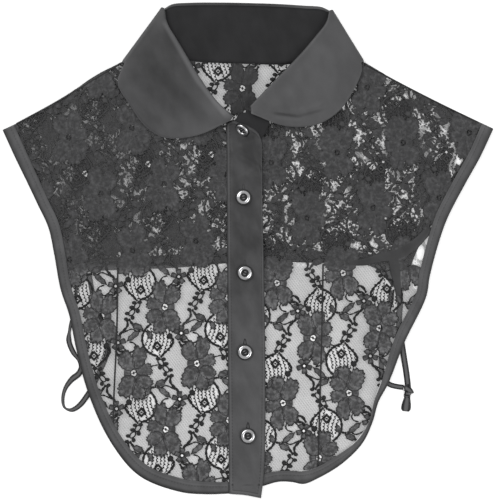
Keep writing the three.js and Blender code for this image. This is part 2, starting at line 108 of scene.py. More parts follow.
def line_at(rows: Array, place: float) -> Array:
    """A point of a centripetal Catmull-Rom line.

    Args:
        rows: The points that it passes through.
        place: How far along it is, from 0 to 1, with the points evenly spaced.

    Returns:
        The point.
    """
    last = len(rows) - 1
    index = min(int(place * last), last - 1)
    weight = place * last - index
    before = rows[index - 1] if index > 0 else 2.0 * rows[0] - rows[1]
    start, end = rows[index], rows[index + 1]
    after = rows[index + 2] if index + 2 <= last else 2.0 * rows[last] - rows[last - 1]
    d0, d1, d2 = (knot_share(float(np.linalg.norm(b - a)))
                  for a, b in ((before, start), (start, end), (end, after)))
    leave = ((start - before) / d0 - (end - before) / (d0 + d1) + (end - start) / d1) * d1
    arrive = ((end - start) / d1 - (after - start) / (d1 + d2) + (after - end) / d2) * d1
    square, cube = weight ** 2, weight ** 3
    return (start * (2 * cube - 3 * square + 1) + leave * (cube - 2 * square + weight)
            + end * (3 * square - 2 * cube) + arrive * (cube - square))


def run_of(points: Array, axis: int = 0) -> Array:
    """How far along each point is, from the first one on that axis of a line or a grid."""
    steps = np.linalg.norm(np.diff(points, axis=axis), axis=-1)
    return np.insert(np.cumsum(steps, axis=axis), 0, 0.0, axis=axis)


def soft_line(rows: Iterable[Row], steps: int, even: bool = True) -> Array:
    """Points along a soft line through the given ones.

    Args:
        rows: The points that it passes through.
        steps: How many stretches the result has.
        even: Whether the stretches are equally long, or follow the given points' spacing.

    Returns:
        steps + 1 points.
    """
    knots = np.array([tuple(row) for row in rows], float)
    samples = LINE_SAMPLES if even else steps
    line = np.array([line_at(knots, k / samples) for k in range(samples + 1)])
    if not even:
        return line
    lengths = run_of(line)
    wanted = np.linspace(0.0, lengths[-1], steps + 1)
    return np.stack([np.interp(wanted, lengths, column) for column in line.T], axis=1)


def line_length(points: Array) -> float:
    """The length of a line through the points."""
    return float(np.linalg.norm(np.diff(points, axis=0), axis=1).sum())


def unit(vectors: Array) -> Array:
    """The vectors at length 1."""
    return vectors / np.maximum(np.linalg.norm(vectors, axis=-1, keepdims=True), 1e-12)


def level_across(line: Array, ring: bool = False) -> Array:
    """Unit level directions to the left of a line of points, or of a closed ring of them."""
    way = np.roll(line, -1, axis=0) - np.roll(line, 1, axis=0) if ring else np.gradient(line, axis=0)
    return unit(np.column_stack([-way[:, 1], way[:, 0], np.zeros(len(line))]))


def rounded(distance: Array, radius: float, least: float) -> Array:
    """A cloth's share of its full thickness, at a distance from its rounded edge."""
    short = 1.0 - np.clip(distance / radius, 0.0, 1.0)
    return np.sqrt(np.clip(1.0 - short ** 2, least, 1.0))


def laid(plan: Array, floor: Height, above: "float | Array" = 0.0) -> Array:
    """Plan points laid on a floor, that much above it."""
    return np.column_stack([plan, floor(plan[:, 0], plan[:, 1]) + above])


def patch(left: Array, right: Array, bottom: Array, top: Array) -> Array:
    """A patch of plan points between four edges.

    Args:
        left: The left edge, running up.
        right: The right edge, running up, with as many points.
        bottom: The bottom edge, from left to right.
        top: The top edge, from left to right, with as many points.

    Returns:
        Points by row and column.
    """
    up = np.linspace(0.0, 1.0, len(left))[:, None, None]
    over = np.linspace(0.0, 1.0, len(bottom))[None, :, None]
    sides = mix(left[:, None], right[:, None], over)
    ends = mix(bottom[None], top[None], up)
    corners = mix(mix(left[0], right[0], over), mix(left[-1], right[-1], over), up)
    return sides + ends - corners


@dataclass(frozen=True)
class Oval:
    """An oval on the plan or in the lace's repeat."""

    x: float
    y: float
    wide: float
    high: float

    def reach(self, x: "Array | Value", y: "Array | Value") -> "Array | Value":
        """The square of how far a place is from the middle, in the oval's own radii."""
        over, up = (x - self.x) / self.wide, (y - self.y) / self.high
        return over * over + up * up

    def grown(self, margin: float) -> "Oval":
        """The same oval with that much added to its radii."""
        return Oval(self.x, self.y, self.wide + margin, self.high + margin)

    def outline(self, count: int, angle: float = 0.0) -> Array:
        """Points round the oval.

        Args:
            count: How many.
            angle: How far the oval is turned, in degrees.

        Returns:
            The points, at height 0.
        """
        turn = np.linspace(0.0, FULL_TURN, count, endpoint=False)
        lean = math.radians(angle)
        over, up = self.wide * np.cos(turn), self.high * np.sin(turn)
        return np.column_stack([self.x + over * math.cos(lean) - up * math.sin(lean),
                                self.y + over * math.sin(lean) + up * math.cos(lean), np.zeros(count)])


# ---- how the layers lie ----

@dataclass(frozen=True)
class Lie:
    """Heights of the layers' undersides over the surface, on the plan."""

    yoke_rise: float = 2.0
    front_on_yoke: float = 1.5
    stand_end_rise: float = 6.0
    placket_on_front: float = 1.8
    placket_beside_front: float = 0.2
    leaf_on_placket: float = 1.95

    def yoke(self, x: Array, y: Array) -> Array:
        """The back panel's underside, which climbs onto the back of the collar."""
        distance = np.hypot((x + 4.0) / 112.0, (y - 175.0) / 40.0)
        return self.yoke_rise * fade(distance, 1.9, 1.0)

    def front(self, x: Array, y: Array) -> Array:
        """The fronts' underside, over the back panel and the ties."""
        on_yoke = fade(y, -62.0, -25.0)
        on_ties = fade(np.abs(x), 78.0, 98.0) * fade(y, -156.0, -132.0)
        return self.yoke(x, y) + self.front_on_yoke * (on_yoke + on_ties - on_yoke * on_ties)

    def stand_end(self, x: Array, y: Array) -> Array:
        """What the fastened front of the neck adds."""
        return self.stand_end_rise * hump(x + 3.0, 10.0) * hump(y - 106.0, 7.0)

    def placket(self, x: Array, y: Array) -> Array:
        """The upper button band's underside."""
        past_under_band = fade(y, 84.0, 96.0) * fade(x, 8.0, 2.0)
        share = fade(x, -17.6, -13.4) * (1.0 - past_under_band)
        lift = mix(self.placket_beside_front, self.placket_on_front, share)
        return self.front(x, y) + lift + self.stand_end(x, y)

    def tip(self, x: Array, y: Array) -> Array:
        """How far a collar leaf is lifted near the fastened front."""
        on_placket = fade(x, -32.0, -18.0) * fade(x, 24.0, 12.0)
        return self.stand_end(x, y) + self.leaf_on_placket * on_placket


LIE = Lie()


# ---- shader nodes ----

@dataclass(frozen=True)
class Value:
    """A number that a shader works out, which takes part in sums."""

    nodes: "Nodes"
    socket: bpy.types.NodeSocket

    def _maths(self, operation: str, *values: "Value | float") -> "Value":
        """Adds one Math node."""
        return self.nodes.make("ShaderNodeMath", {"operation": operation}, dict(enumerate(values)))

    def __add__(self, other: "Value | float") -> "Value":
        """self + other"""
        return self._maths("ADD", self, other)

    __radd__ = __add__

    def __sub__(self, other: "Value | float") -> "Value":
        """self - other"""
        return self._maths("SUBTRACT", self, other)

    def __rsub__(self, other: float) -> "Value":
        """other - self"""
        return self._maths("SUBTRACT", other, self)

    def __mul__(self, other: "Value | float") -> "Value":
        """self * other"""
        return self._maths("MULTIPLY", self, other)

    __rmul__ = __mul__

    def __truediv__(self, other: "Value | float") -> "Value":
        """self / other"""
        return self._maths("DIVIDE", self, other)

    def call(self, operation: str, *others: "Value | float") -> "Value":
        """Any other operation of a Math node, such as SINE."""
        return self._maths(operation, self, *others)

    def ripple(self, period: float) -> "Value":
        """A sine wave along it."""
        return (self * (FULL_TURN / period)).call("SINE")

    def between(self, start: float, end: float) -> "Value":
        """A share that runs smoothly from 0 to 1 and is held outside.

        Args:
            start: Where it is 0.
            end: Where it is 1. It may be below start.

        Returns:
            The share.
        """
        low, high = (start, end) if start < end else (end, start)
        ends = {3: 0.0, 4: 1.0} if start < end else {3: 1.0, 4: 0.0}
        settings = {"interpolation_type": "SMOOTHSTEP"}
        return self.nodes.make("ShaderNodeMapRange", settings, {0: self, 1: low, 2: high, **ends})


class Nodes:
    """The node tree of one material, with one method that adds any node."""

    def __init__(self, name: str) -> None:
        """Starts an empty material of that name."""
        self.material = bpy.data.materials.new(name)
        self.material.use_nodes = True
        self.tree = self.material.node_tree
        self.tree.nodes.clear()

    def make(self, kind: str, settings: dict | None = None, inputs: dict | None = None,
             out: int | str = 0) -> Value:
        """Adds a node.

        Args:
            kind: The node's type.
            settings: Its properties, set first.
            inputs: A value, colour or link for each socket, by name or number.
            out: The output that the result stands for.

        Returns:
            That output.
        """
        node = self.tree.nodes.new(kind)
        for key, value in (settings or {}).items():
            setattr(node, key, value)
        for key, value in (inputs or {}).items():
            socket = node.inputs[key]
            if isinstance(value, Value):
                self.tree.links.new(value.socket, socket)
            else:
                socket.default_value = value
        return Value(self, node.outputs[out])

    def _split(self, point: Value) -> tuple[Value, Value]:
        """A point's first two coordinates."""
        node = self.make("ShaderNodeSeparateXYZ", inputs={0: point}).socket.node
        return Value(self, node.outputs[0]), Value(self, node.outputs[1])

    def place(self) -> tuple[Value, Value]:
        """The point's own x and y, in the frame's millimetres."""
        x, y = self._split(self.make("ShaderNodeTexCoord", out="Object"))
        return x / MM, y / MM

    def plan_place(self) -> tuple[Value, Value]:
        """The point's own x and y, on the plan."""
        x, y = self.place()
        return x, y - PLAN_TO_FRAME_Y

    def surface(self) -> tuple[Value, Value]:
        """The piece's own two surface coordinates."""
        return self._split(self.make("ShaderNodeUVMap"))

    def noise(self, scale: float, detail: float = 2.0) -> Value:
        """Soft noise on the piece, around 0.5."""
        point = self.make("ShaderNodeTexCoord", out="Object")
        inputs = {"Vector": point, "Scale": scale, "Detail": detail, "Roughness": 0.55}
        return self.make("ShaderNodeTexNoise", inputs=inputs)

    def blend(self, share: Value, low: "Row | Value", high: "Row | Value", clamp: bool = True) -> Value:
        """A colour between two.

        Args:
            share: How far it is from the first to the second.
            low: The first colour.
            high: The second colour.
            clamp: Whether the share is held between 0 and 1.

        Returns:
            The colour.
        """
        low, high = (end if isinstance(end, Value) else (*end, 1.0) for end in (low, high))
        settings = {"data_type": "RGBA", "clamp_factor": clamp}
        return self.make("ShaderNodeMix", settings, {0: share, 6: low, 7: high}, out=2)

    def bump(self, height: Value, strength: float, distance: float) -> Value:
        """A normal that follows a height."""
        inputs = {"Height": height, "Strength": strength, "Distance": distance}
        return self.make("ShaderNodeBump", inputs=inputs)

    def finish(self, **inputs: "Value | float | Row") -> Material:
        """Closes the tree with a Principled shader.

        Args:
            inputs: Its sockets, named with underscores for spaces.

        Returns:
            The material.
        """
        named = {key.replace("_", " "): value for key, value in inputs.items()}
        shader = self.make("ShaderNodeBsdfPrincipled", inputs=named)
        output = self.tree.nodes.new("ShaderNodeOutputMaterial")
        self.tree.links.new(shader.socket, output.inputs["Surface"])
        return self.material


# ---- the lace's repeat ----

@dataclass(frozen=True)
class LaceRepeat:
    """Where a panel's flowers fall: rows slant, and every other row is mirrored."""

    origin: Pair
    across: Pair = (51.7, 7.8)
    down: Pair = (26.2, -46.3)
    turned: bool = False

    @property
    def sign(self) -> float:
        """-1 where the cloth was cut upside down."""
        return -1.0 if self.turned else 1.0

    def two_rows(self) -> Array:
        """The step to the next row that isn't mirrored, beside across."""
        return 2.0 * np.array(self.down) - np.array(self.across)

    def places(self, low: Array, high: Array, reach: float) -> list[tuple[Array, bool]]:
        """The flowers whose repeats come near a box.

        Args:
            low: The box's lowest x and y.
            high: Its highest.
            reach: How far outside it a repeat's origin may be.

        Returns:
            Each one's place, and whether it is mirrored.
        """
        found = []
        for row in range(-16, 17):
            for column in range(-16, 17):
                spot = np.array(self.origin) + row * np.array(self.down) + column * np.array(self.across)
                if np.all(spot > low - reach) and np.all(spot < high + reach):
                    found.append((spot, row % 2 == 1))
        return found


EYELET = Oval(0, 0, 2.3, 2.7)  # places in one repeat
SMALL_EYELET = Oval(12.1, -75.5, 1.7, 1.7)
MEDALLION = Oval(-5.9, -27.6, 12.4, 13.2)
CELL = Oval(2.6, -79, 4.4, 3.6)
NECK_OPENING = Oval(-4, 138, 50, 32)


# ---- finishes ----

Colour = tuple[float, float, float]


def tinted(colour: Colour, factor: float) -> Colour:
    """A colour made lighter or darker by a factor."""
    return tuple(min(1.0, factor * part) for part in colour)


@dataclass(frozen=True)
class NetFinish:
    """Fine net, open at the eyelets and sparser inside the medallions."""

    name: str
    repeat: LaceRepeat
    gaps: tuple[Oval, ...] = ()
    cover: float = 0.29
    medallion_cover: float = 0.15
    colour: Colour = (0.165, 0.165, 0.168)
    mesh_mm: float = 1.85
    mesh_angles: tuple[float, float, float] = (38.0, 98.0, 158.0)
    rim: Pair = (0.93, 1.03)
    tangle: float = 0.0
    cell_share: float = 0.35
    speck_share: float = 0.8
    # The colour at the back's knots, and on the fronts a painted shade over the part that lies over the
    # back panel.
    knot_and_lined_shade_colour: Colour = (0.034, 0.034, 0.035)
    plain: Oval | None = None
    eyelets_below: Pair | None = None

    def _in_rows(self, x: Value, y: Value, oval: Oval, mirrored: bool) -> Value:
        """How far each point is from such an oval in every other row of the repeat.

        Args:
            x: The point's place on the plan.
            y: Its place on the plan.
            oval: The oval in one repeat.
            mirrored: Whether it is asked of the mirrored rows.

        Returns:
            The distance from the nearest one, in its own radii.
        """
        across, rows = np.array(self.repeat.across), self.repeat.two_rows()
        back = np.linalg.inv(np.stack([across, rows], axis=1))
        offset = np.array([-oval.x if mirrored else oval.x, oval.y]) * self.repeat.sign
        start = np.array(self.repeat.origin) + offset
        if mirrored:
            start = start + np.array(self.repeat.down)
        shift = back @ start
        parts = [(x * float(back[k, 0]) + y * float(back[k, 1]) + (0.5 - float(shift[k])))
                 .call("FRACT") - 0.5 for k in range(2)]
        over, up = (parts[0] * float(across[k]) + parts[1] * float(rows[k]) for k in range(2))
        return Oval(0.0, 0.0, oval.wide, oval.high).reach(over, up).call("SQRT")

    def _near(self, x: Value, y: Value, oval: Oval) -> Value:
        """How far each point is from the nearest such oval in any row, in its own radii."""
        return self._in_rows(x, y, oval, False).call("MINIMUM", self._in_rows(x, y, oval, True))

    def _specks(self, nodes: Nodes, x: Value, y: Value) -> Value:
        """Small worm-shaped openings in the tangled back, with more of them to the right.

        Args:
            nodes: The material's nodes.
            x: The point's place on the plan.
            y: Its place on the plan.

        Returns:
            How open the net is.
        """
        worm = (nodes.noise(250.0, 1.5) - 0.5).call("ABSOLUTE").between(0.10, 0.055)
        right = x.between(-150.0, 10.0)
        looser = 0.028 + right * 0.054 - x.between(110.0, 150.0) * 0.05
        looser = looser + x.between(-90.0, -120.0) * y.between(70.0, 95.0) * 0.07
        open_here = (nodes.noise(46.0) + looser).between(0.46, 0.52)
        return worm * open_here * nodes.noise(300.0).between(0.36, 0.46) * (0.5 + right * 0.5)

    def build(self) -> Material:
        """Makes the material.

        Returns:
            The material.
        """
        nodes = Nodes(self.name)
        x, y = nodes.plan_place()
        turn = FULL_TURN / self.mesh_mm
        waves = [((x * math.cos(angle) + y * math.sin(angle)) * turn).call("COSINE")
                 for angle in map(math.radians, self.mesh_angles)]
        weave = waves[0] * 0.85 + waves[1] * 0.3 + waves[2] * 0.25
        thread = 1.0 + weave * 0.16 + (nodes.noise(60.0) - 0.5) * 0.34
        sparse = 1.0 - self._near(x, y, MEDALLION).between(*self.rim)
        cells = (1.0 - self._near(x, y, CELL).between(*self.rim)) * self.cell_share
        sparse = sparse.call("MAXIMUM", cells)
        cover = thread * self.cover * (1.0 - sparse * (1.0 - self.medallion_cover / self.cover))
        closed = self._near(x, y, EYELET).between(0.92, 1.0)
        closed = closed * self._near(x, y, SMALL_EYELET).between(0.9, 1.0)
        if self.eyelets_below:
            closed = closed.call("MAXIMUM", y.between(*self.eyelets_below))
        for gap in self.gaps:
            closed = closed * gap.reach(x, y).between(0.8, 1.1)
        specks = self._specks(nodes, x, y)
        patches = (nodes.noise(74.0) - x * 0.0003).between(0.42, 0.39)
        knots = (1.0 - specks.call("MAXIMUM", patches)) * self.tangle
        if self.plain:
            beyond = self.plain.reach(x, y).between(0.9, 1.1)
            knots, specks = knots * beyond, specks * beyond
        # Knots darken the back's net. On a front the net is painted darker above eyelets_below, as shade
        # where it lies over the back panel.
        knots_and_lined_shade = knots
        if self.eyelets_below:
            knots_and_lined_shade = y.between(*self.eyelets_below)
            specks = specks * knots_and_lined_shade
        cover = cover * (1.0 - specks * self.speck_share) + knots * (0.9 - cover)
        return nodes.finish(Base_Color=nodes.blend(knots_and_lined_shade, self.colour, self.knot_and_lined_shade_colour), Roughness=0.85,
                            Alpha=cover * closed, Specular_IOR_Level=0.2,
                            Normal=nodes.bump(weave, 0.3, 0.0003))


@dataclass(frozen=True)
class ThreadFinish:
    """Worked thread: a soft fill inside a darker cord. U is 0 in a fill's middle and 1 on a cord."""

    name: str = "lace thread"
    # Fill and cord colours: where the front lies over the back panel (lined) the fill is painted darker
    # and the cord lighter; elsewhere the thin fill is painted lighter, as the table's light showing
    # through it.
    fill: Colour = (0.038, 0.038, 0.039)
    thin: Colour = (0.046, 0.046, 0.047)
    cord: Colour = (0.018, 0.018, 0.0185)
    lined_cord: Colour = (0.052, 0.052, 0.053)
    lined_above: Pair = (-20.0, -10.0)
    # Inside the neck opening the thread is painted darker, as shade under the collar and neck seam.
    shaded_neck_opening: Oval = NECK_OPENING
    stitches_round: float = 26.0

    def build(self) -> Material:
        """Makes the material.

        Returns:
            The material.
        """
        nodes = Nodes(self.name)
        edge, around = nodes.surface()
        wear_and_highlight = nodes.noise(420.0, 3.0)
        pale = nodes.noise(140.0).between(0.38, 0.7) * 0.4 + wear_and_highlight.between(0.4, 0.62) * 0.6
        pale = pale * (0.55 + 0.45 * edge.between(0.15, 0.6)) - 0.35 * edge.between(0.74, 0.88)
        stitches = around.ripple(1.0 / self.stitches_round)
        x, y = nodes.plan_place()
        # Painted light: the fill is lighter where no back panel lies beneath it, and darker with a
        # lighter cord where one does.
        lined = y.between(*self.lined_above)
        # Painted shade inside the neck opening, under the collar.
        alone = 1.0 - self.shaded_neck_opening.reach(x, y).between(0.9, 1.1)
        tone = pale + stitches * 0.1 - alone * 0.4
        thin = nodes.blend(tone, self.thin, tinted(self.thin, 3.5))
        full = nodes.blend(tone, self.fill, tinted(self.fill, 2.2))
        dark = nodes.blend(lined * (1.0 - alone), self.cord, self.lined_cord)
        colour = nodes.blend(edge.between(0.86, 0.94), nodes.blend(lined, thin, full), dark)
        return nodes.finish(Base_Color=colour, Roughness=0.72 + wear_and_highlight * 0.16, Specular_IOR_Level=0.25,
                            Normal=nodes.bump(stitches * 0.5 + wear_and_highlight, 0.5, 0.0003))


@dataclass(frozen=True)
class PaintedStreak:
    """A soft straight line of painted light on cloth: a highlight where lift is above 0, shade where it
    is below.
    """

    start: Pair
    end: Pair
    wide: float
    lift: float

    def share(self, x: Value, y: Value) -> Value:
        """How much of the streak there is at a plan place.

        Args:
            x: The place.
            y: The place.

        Returns:
            A share, which fades out at the streak's sides and ends.
        """
        way = np.subtract(self.end, self.start)
        length = float(np.linalg.norm(way))
        east, north = (float(part) for part in way / length)
        along = (x - self.start[0]) * east + (y - self.start[1]) * north
        off = ((y - self.start[1]) * east - (x - self.start[0]) * north).call("ABSOLUTE")
        ends = along.between(-4.0, 4.0) * along.between(length + 4.0, length - 4.0)
        return off.between(self.wide, 0.15 * self.wide) * ends


@dataclass(frozen=True)
class SatinFinish:
    """Woven satin. U runs along the piece in metres and V in from its edge."""

    name: str
    colour: Colour = (0.048, 0.048, 0.0495)
    roughness: float = 0.5
    sheen: float = 0.08
    gloss: float = 0.35
    stitch_mm: tuple[float, ...] = ()
    stitch_length_mm: float = 2.6
    stitch_share: float = 0.4
    ridge_mm: tuple[float, ...] = ()
    # The free edge is painted lighter or darker: a painted highlight on a rolled edge where the factor is
    # above 1, a painted shaded outline below 1.
    painted_edge_light: float = 1.25
    edge_mm: float = 1.4
    painted_edge_share: float = 0.6
    # How strongly the lines at ridge_mm are painted lighter, as a highlight on the ridge.
    ridge_highlight_share: float = 0.45
    # Painted light and shade: stretched noise for soft drag creases, ovals of shade, and straight streaks
    # of light or shade.
    painted_crease_shading: float = 0.3
    painted_shades: tuple[tuple[Oval, float], ...] = ()
    painted_streaks: tuple[PaintedStreak, ...] = ()
    stitch_colour: Colour = (0.012, 0.012, 0.013)

    def _tone(self, nodes: Nodes, x: Value, y: Value) -> Value:
        """How light the cloth is by its painted shades, painted streaks and painted shading of drag
        creases, without the weave.

        Args:
            nodes: The material's nodes.
            x: The point's place in the frame's millimetres.
            y: Its place in the frame's millimetres.

        Returns:
            What is added to the tone.
        """
        # Painted shading of soft drag creases: noise stretched across the cloth.
        pulled = nodes.make("ShaderNodeCombineXYZ",
                            inputs={0: (x + y * 0.35) * 0.085, 1: (y - x * 0.3) * 0.045, 2: 0.0})
        painted_crease_shading = nodes.make("ShaderNodeTexNoise", inputs={"Vector": pulled, "Scale": 1.0, "Detail": 3.0})
        tone = (painted_crease_shading.between(0.3, 0.7) - 0.5) * (2.0 * self.painted_crease_shading)
        plan_y = y - PLAN_TO_FRAME_Y
        # Painted shade in ovals, then painted streaks of light and shade.
        for oval, depth in self.painted_shades:
            tone = tone - depth * oval.reach(x, plan_y).call("SQRT").between(1.3, 0.3)
        for streak in self.painted_streaks:
            tone = tone + streak.lift * streak.share(x, plan_y)
        return tone

    def build(self) -> Material:
        """Makes the material.

        Returns:
            The material.
        """
        nodes = Nodes(self.name)
        along, inward = (part / MM for part in nodes.surface())
        x, y = nodes.place()
        cloudy, fine = nodes.noise(26.0, 3.0), nodes.noise(900.0, 1.0)
        twill, weft = (x * 0.86 + y * 0.5).ripple(0.55), (x * 0.5 - y * 0.86).ripple(0.9)
        tone = cloudy.between(0.25, 0.75) * 0.62 + fine * 0.26 + twill * 0.05
        tone = (tone + self._tone(nodes, x, y)).call("MAXIMUM", -1.6)
        colour = nodes.blend(tone, tinted(self.colour, 0.82), tinted(self.colour, 1.2), clamp=False)
        # Painted highlight along each ridge line.
        for line in self.ridge_mm:
            near = 1.0 - (inward - line).call("ABSOLUTE").between(0.25, 1.1)
            wear_and_highlight = tinted(self.colour, 1.9)
            colour = nodes.blend(near * self.ridge_highlight_share * (0.5 + cloudy), colour, wear_and_highlight)
        height = twill * 0.35 + weft * 0.25 + fine * 0.5
        for line in self.stitch_mm:
            near = 1.0 - (inward - line).call("ABSOLUTE").between(0.25, 0.62)
            stitch = near * along.ripple(self.stitch_length_mm).between(-0.55, 0.1)
            colour = nodes.blend(stitch * self.stitch_share, colour, self.stitch_colour)
            height = height + stitch * 2.0 - near * 1.6
        # Painted edge light: lighter at a rolled edge, or a darker painted outline where the factor is
        # below 1.
        edge = 1.0 - inward.between(0.2, self.edge_mm)
        colour = nodes.blend(edge * self.painted_edge_share, colour, tinted(self.colour, self.painted_edge_light * 1.2))
        return nodes.finish(Base_Color=colour, Roughness=self.roughness + fine * 0.1,
                            Sheen_Weight=self.sheen, Sheen_Roughness=0.4, Specular_IOR_Level=self.gloss,
                            Normal=nodes.bump(height, 0.22, 0.00022))


@dataclass(frozen=True)
class RibbonFinish:
    """Narrow satin ribbon, darker towards its edges. V runs across it from 0 to 1."""

    name: str = "tie ribbon"
    colour: Colour = (0.1, 0.1, 0.102)
    edge: Colour = (0.006, 0.006, 0.0065)
    rib_mm: float = 0.6

    def build(self) -> Material:
        """Makes the material.

        Returns:
            The material.
        """
        nodes = Nodes(self.name)
        along, across = nodes.surface()
        fine = nodes.noise(700.0)
        from_middle = (across - 0.5).call("ABSOLUTE").between(0.1, 0.34)
        colour = nodes.blend(from_middle + fine * 0.15, self.colour, self.edge)
        ribs = along.ripple(self.rib_mm * MM) * 0.5 + fine
        return nodes.finish(Base_Color=colour, Roughness=0.42 + fine * 0.14, Specular_IOR_Level=0.3,
                            Normal=nodes.bump(ribs, 0.2, 0.0002))


@dataclass(frozen=True)
class MetalFinish:
    """Polished metal with fine rubbing marks."""

    name: str = "button metal"
    colour: Colour = (0.64, 0.64, 0.65)

    def build(self) -> Material:
        """Makes the material.

        Returns:
            The material.
        """
        nodes = Nodes(self.name)
        marks = nodes.noise(1400.0, 3.0)
        tarnish = nodes.noise(300.0).between(0.45, 0.8) * 0.5
        colour = nodes.blend(tarnish, self.colour, tinted(self.colour, 0.55))
        return nodes.finish(Base_Color=colour, Metallic=1.0, Roughness=0.16 + marks * 0.2,
                            Normal=nodes.bump(marks, 0.15, 0.0001))


@dataclass(frozen=True)
class TableFinish:
    """A white light table, which keeps shadows faint."""

    colour: Colour = (0.82, 0.82, 0.82)
    glow: float = 0.36

    def build(self) -> Material:
        """Makes the material.

        Returns:
            The material.
        """
        nodes = Nodes("table white")
        colour = nodes.blend(nodes.noise(4.0), self.colour, tinted(self.colour, 1.05))
        return nodes.finish(Base_Color=colour, Roughness=0.8, Emission_Color=(1.0, 1.0, 1.0, 1.0),
                            Emission_Strength=self.glow)


@dataclass(frozen=True)
class PlainFinish:
    """A hard or thread finish with a little wear."""

    name: str
    colour: Colour
    roughness: float
    grain: float = 800.0

    def build(self) -> Material:
        """Makes the material.

        Returns:
            The material.
        """
        nodes = Nodes(self.name)
        grain = nodes.noise(self.grain, 3.0)
        colour = nodes.blend(grain, tinted(self.colour, 0.7), tinted(self.colour, 1.4))
        return nodes.finish(Base_Color=colour, Roughness=self.roughness + grain * 0.15,
                            Normal=nodes.bump(grain, 0.2, 0.0001))


# ---- meshes ----

@dataclass
class Shape:
    """Points in millimetres, the faces between them and each point's surface coordinates."""

    points: Array
    faces: list[tuple[int, ...]]
    surface: Array

    @property
    def volume(self) -> float:
        """The volume inside, negative where the faces point inwards."""
        corners = [(face[0], *face[k:k + 2]) for face in self.faces for k in range(1, len(face) - 1)]
        a, b, c = (self.points[[corner[k] for corner in corners]] for k in range(3))
        return float(np.einsum("ij,ij->i", a, np.cross(b, c)).sum() / 6.0)

    def outwards(self) -> "Shape":
        """The same shape with its faces pointing outwards."""
        if self.volume < 0.0:
            self.faces = [face[::-1] for face in self.faces]
        return self


def joined(shapes: Sequence[Shape]) -> Shape:
    """Several shapes as one.

    Args:
        shapes: The shapes, each with its own numbering.

    Returns:
        One shape with all their points and faces.
    """
    faces, start = [], 0
    for shape in shapes:
        faces.extend(tuple(start + corner for corner in face) for face in shape.faces)
        start += len(shape.points)
    return Shape(np.concatenate([shape.points for shape in shapes]), faces,
                 np.concatenate([shape.surface for shape in shapes]))


def new_object(name: str, data: bpy.types.ID) -> Piece:
    """A new object of that name in the scene, round a mesh, a light or a camera."""
    thing = bpy.data.objects.new(name, data)
    bpy.context.scene.collection.objects.link(thing)
    return thing


def add_piece(name: str, shape: Shape, material: Material) -> Piece:
    """Makes an object of a shape.

    Args:
        name: Its name.
        shape: Its points and faces, on the plan.
        material: Its finish.

    Returns:
        The object, at the origin, with its place in its mesh.
    """
    mesh = bpy.data.meshes.new(name)
    mesh.from_pydata(in_frame(shape.points).tolist(), [], shape.faces)
    mesh.update()
    corners = np.empty(len(mesh.loops), np.int32)
    mesh.loops.foreach_get("vertex_index", corners)
    layer = mesh.uv_layers.new(name="surface")
    layer.data.foreach_set("uv", shape.surface[corners].astype(np.float32).ravel())
    mesh.materials.append(material)
    mesh.polygons.foreach_set("use_smooth", [True] * len(mesh.polygons))
    return new_object(name, mesh)


def wall(upper: Array, lower: Array, surface: Array) -> Shape:
    """A closed body between two grids of points.

    Args:
        upper: Points by row and column.
        lower: The same on the other face.
        surface: Two surface coordinates for each point of a grid.

    Returns:
        The body.
    """
    rows, columns = upper.shape[:2]
    under = rows * columns
    top = np.arange(under).reshape(rows, columns)
    quads = np.stack([top[:-1, :-1], top[1:, :-1], top[1:, 1:], top[:-1, 1:]], axis=-1).reshape(-1, 4)
    rim = np.concatenate([top[0, :-1], top[:-1, -1], top[-1, :0:-1], top[:0:-1, 0]])
    after = np.roll(rim, -1)
    sides = np.stack([rim, after, after + under, rim + under], axis=1)
    faces = np.concatenate([quads, quads[:, [0, 3, 2, 1]] + under, sides])
    points = np.concatenate([upper.reshape(-1, 3), lower.reshape(-1, 3)])
    both = np.tile(surface.reshape(-1, 2), (2, 1))
    return Shape(points, [tuple(face) for face in faces.tolist()], both).outwards()


def deselect() -> None:
    """Leaves object mode's selection empty."""
    bpy.ops.object.select_all(action="DESELECT")


def pick(pieces: Sequence[Piece]) -> None:
    """Selects these objects alone, with the first one active."""
    deselect()
    bpy.context.view_layer.objects.active = pieces[0]
    for piece in pieces:
        piece.select_set(True)


def modify(piece: Piece, kind: str, **settings: object) -> None:
    """Puts a modifier on a piece and applies it.

    Args:
        piece: The piece.
        kind: The modifier's type.
        settings: Its properties.
    """
    pick([piece])
    modifier = piece.modifiers.new(kind.lower(), kind)
    for key, value in settings.items():
        setattr(modifier, key, value)
    bpy.ops.object.modifier_apply(modifier=modifier.name)


def merge(pieces: Sequence[Piece]) -> Piece:
    """Joins pieces into the first, with its place in its mesh."""
    pick(pieces)
    bpy.ops.object.join()
    bpy.ops.object.transform_apply(location=True, rotation=True, scale=True)
    return pieces[0]


def dress(piece: Piece) -> None:
    """Puts a piece on the object's one body."""
    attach(piece, "root")
    log.info("%s: %d faces", piece.name, len(piece.data.polygons))


def grid_normals(grid: Array) -> Array:
    """The normals of a grid of points."""
    return unit(np.cross(np.gradient(grid, axis=0), np.gradient(grid, axis=1)))


def closed_faces(sections: int, size: int, first: int = 0, ring: bool = False) -> list[tuple[int, ...]]:
    """The faces that join closed sections of points.

    Args:
        sections: How many sections there are.
        size: How many points each has.
        first: The number of the first section's first point.
        ring: Whether the last section meets the first.

    Returns:
        The faces.
    """
    faces = []
    for i in range(sections if ring else sections - 1):
        here, after = first + i * size, first + (i + 1) % sections * size
        for j in range(size):
            side = (j + 1) % size
            faces.append((here + j, after + j, after + side, here + side))
    return faces


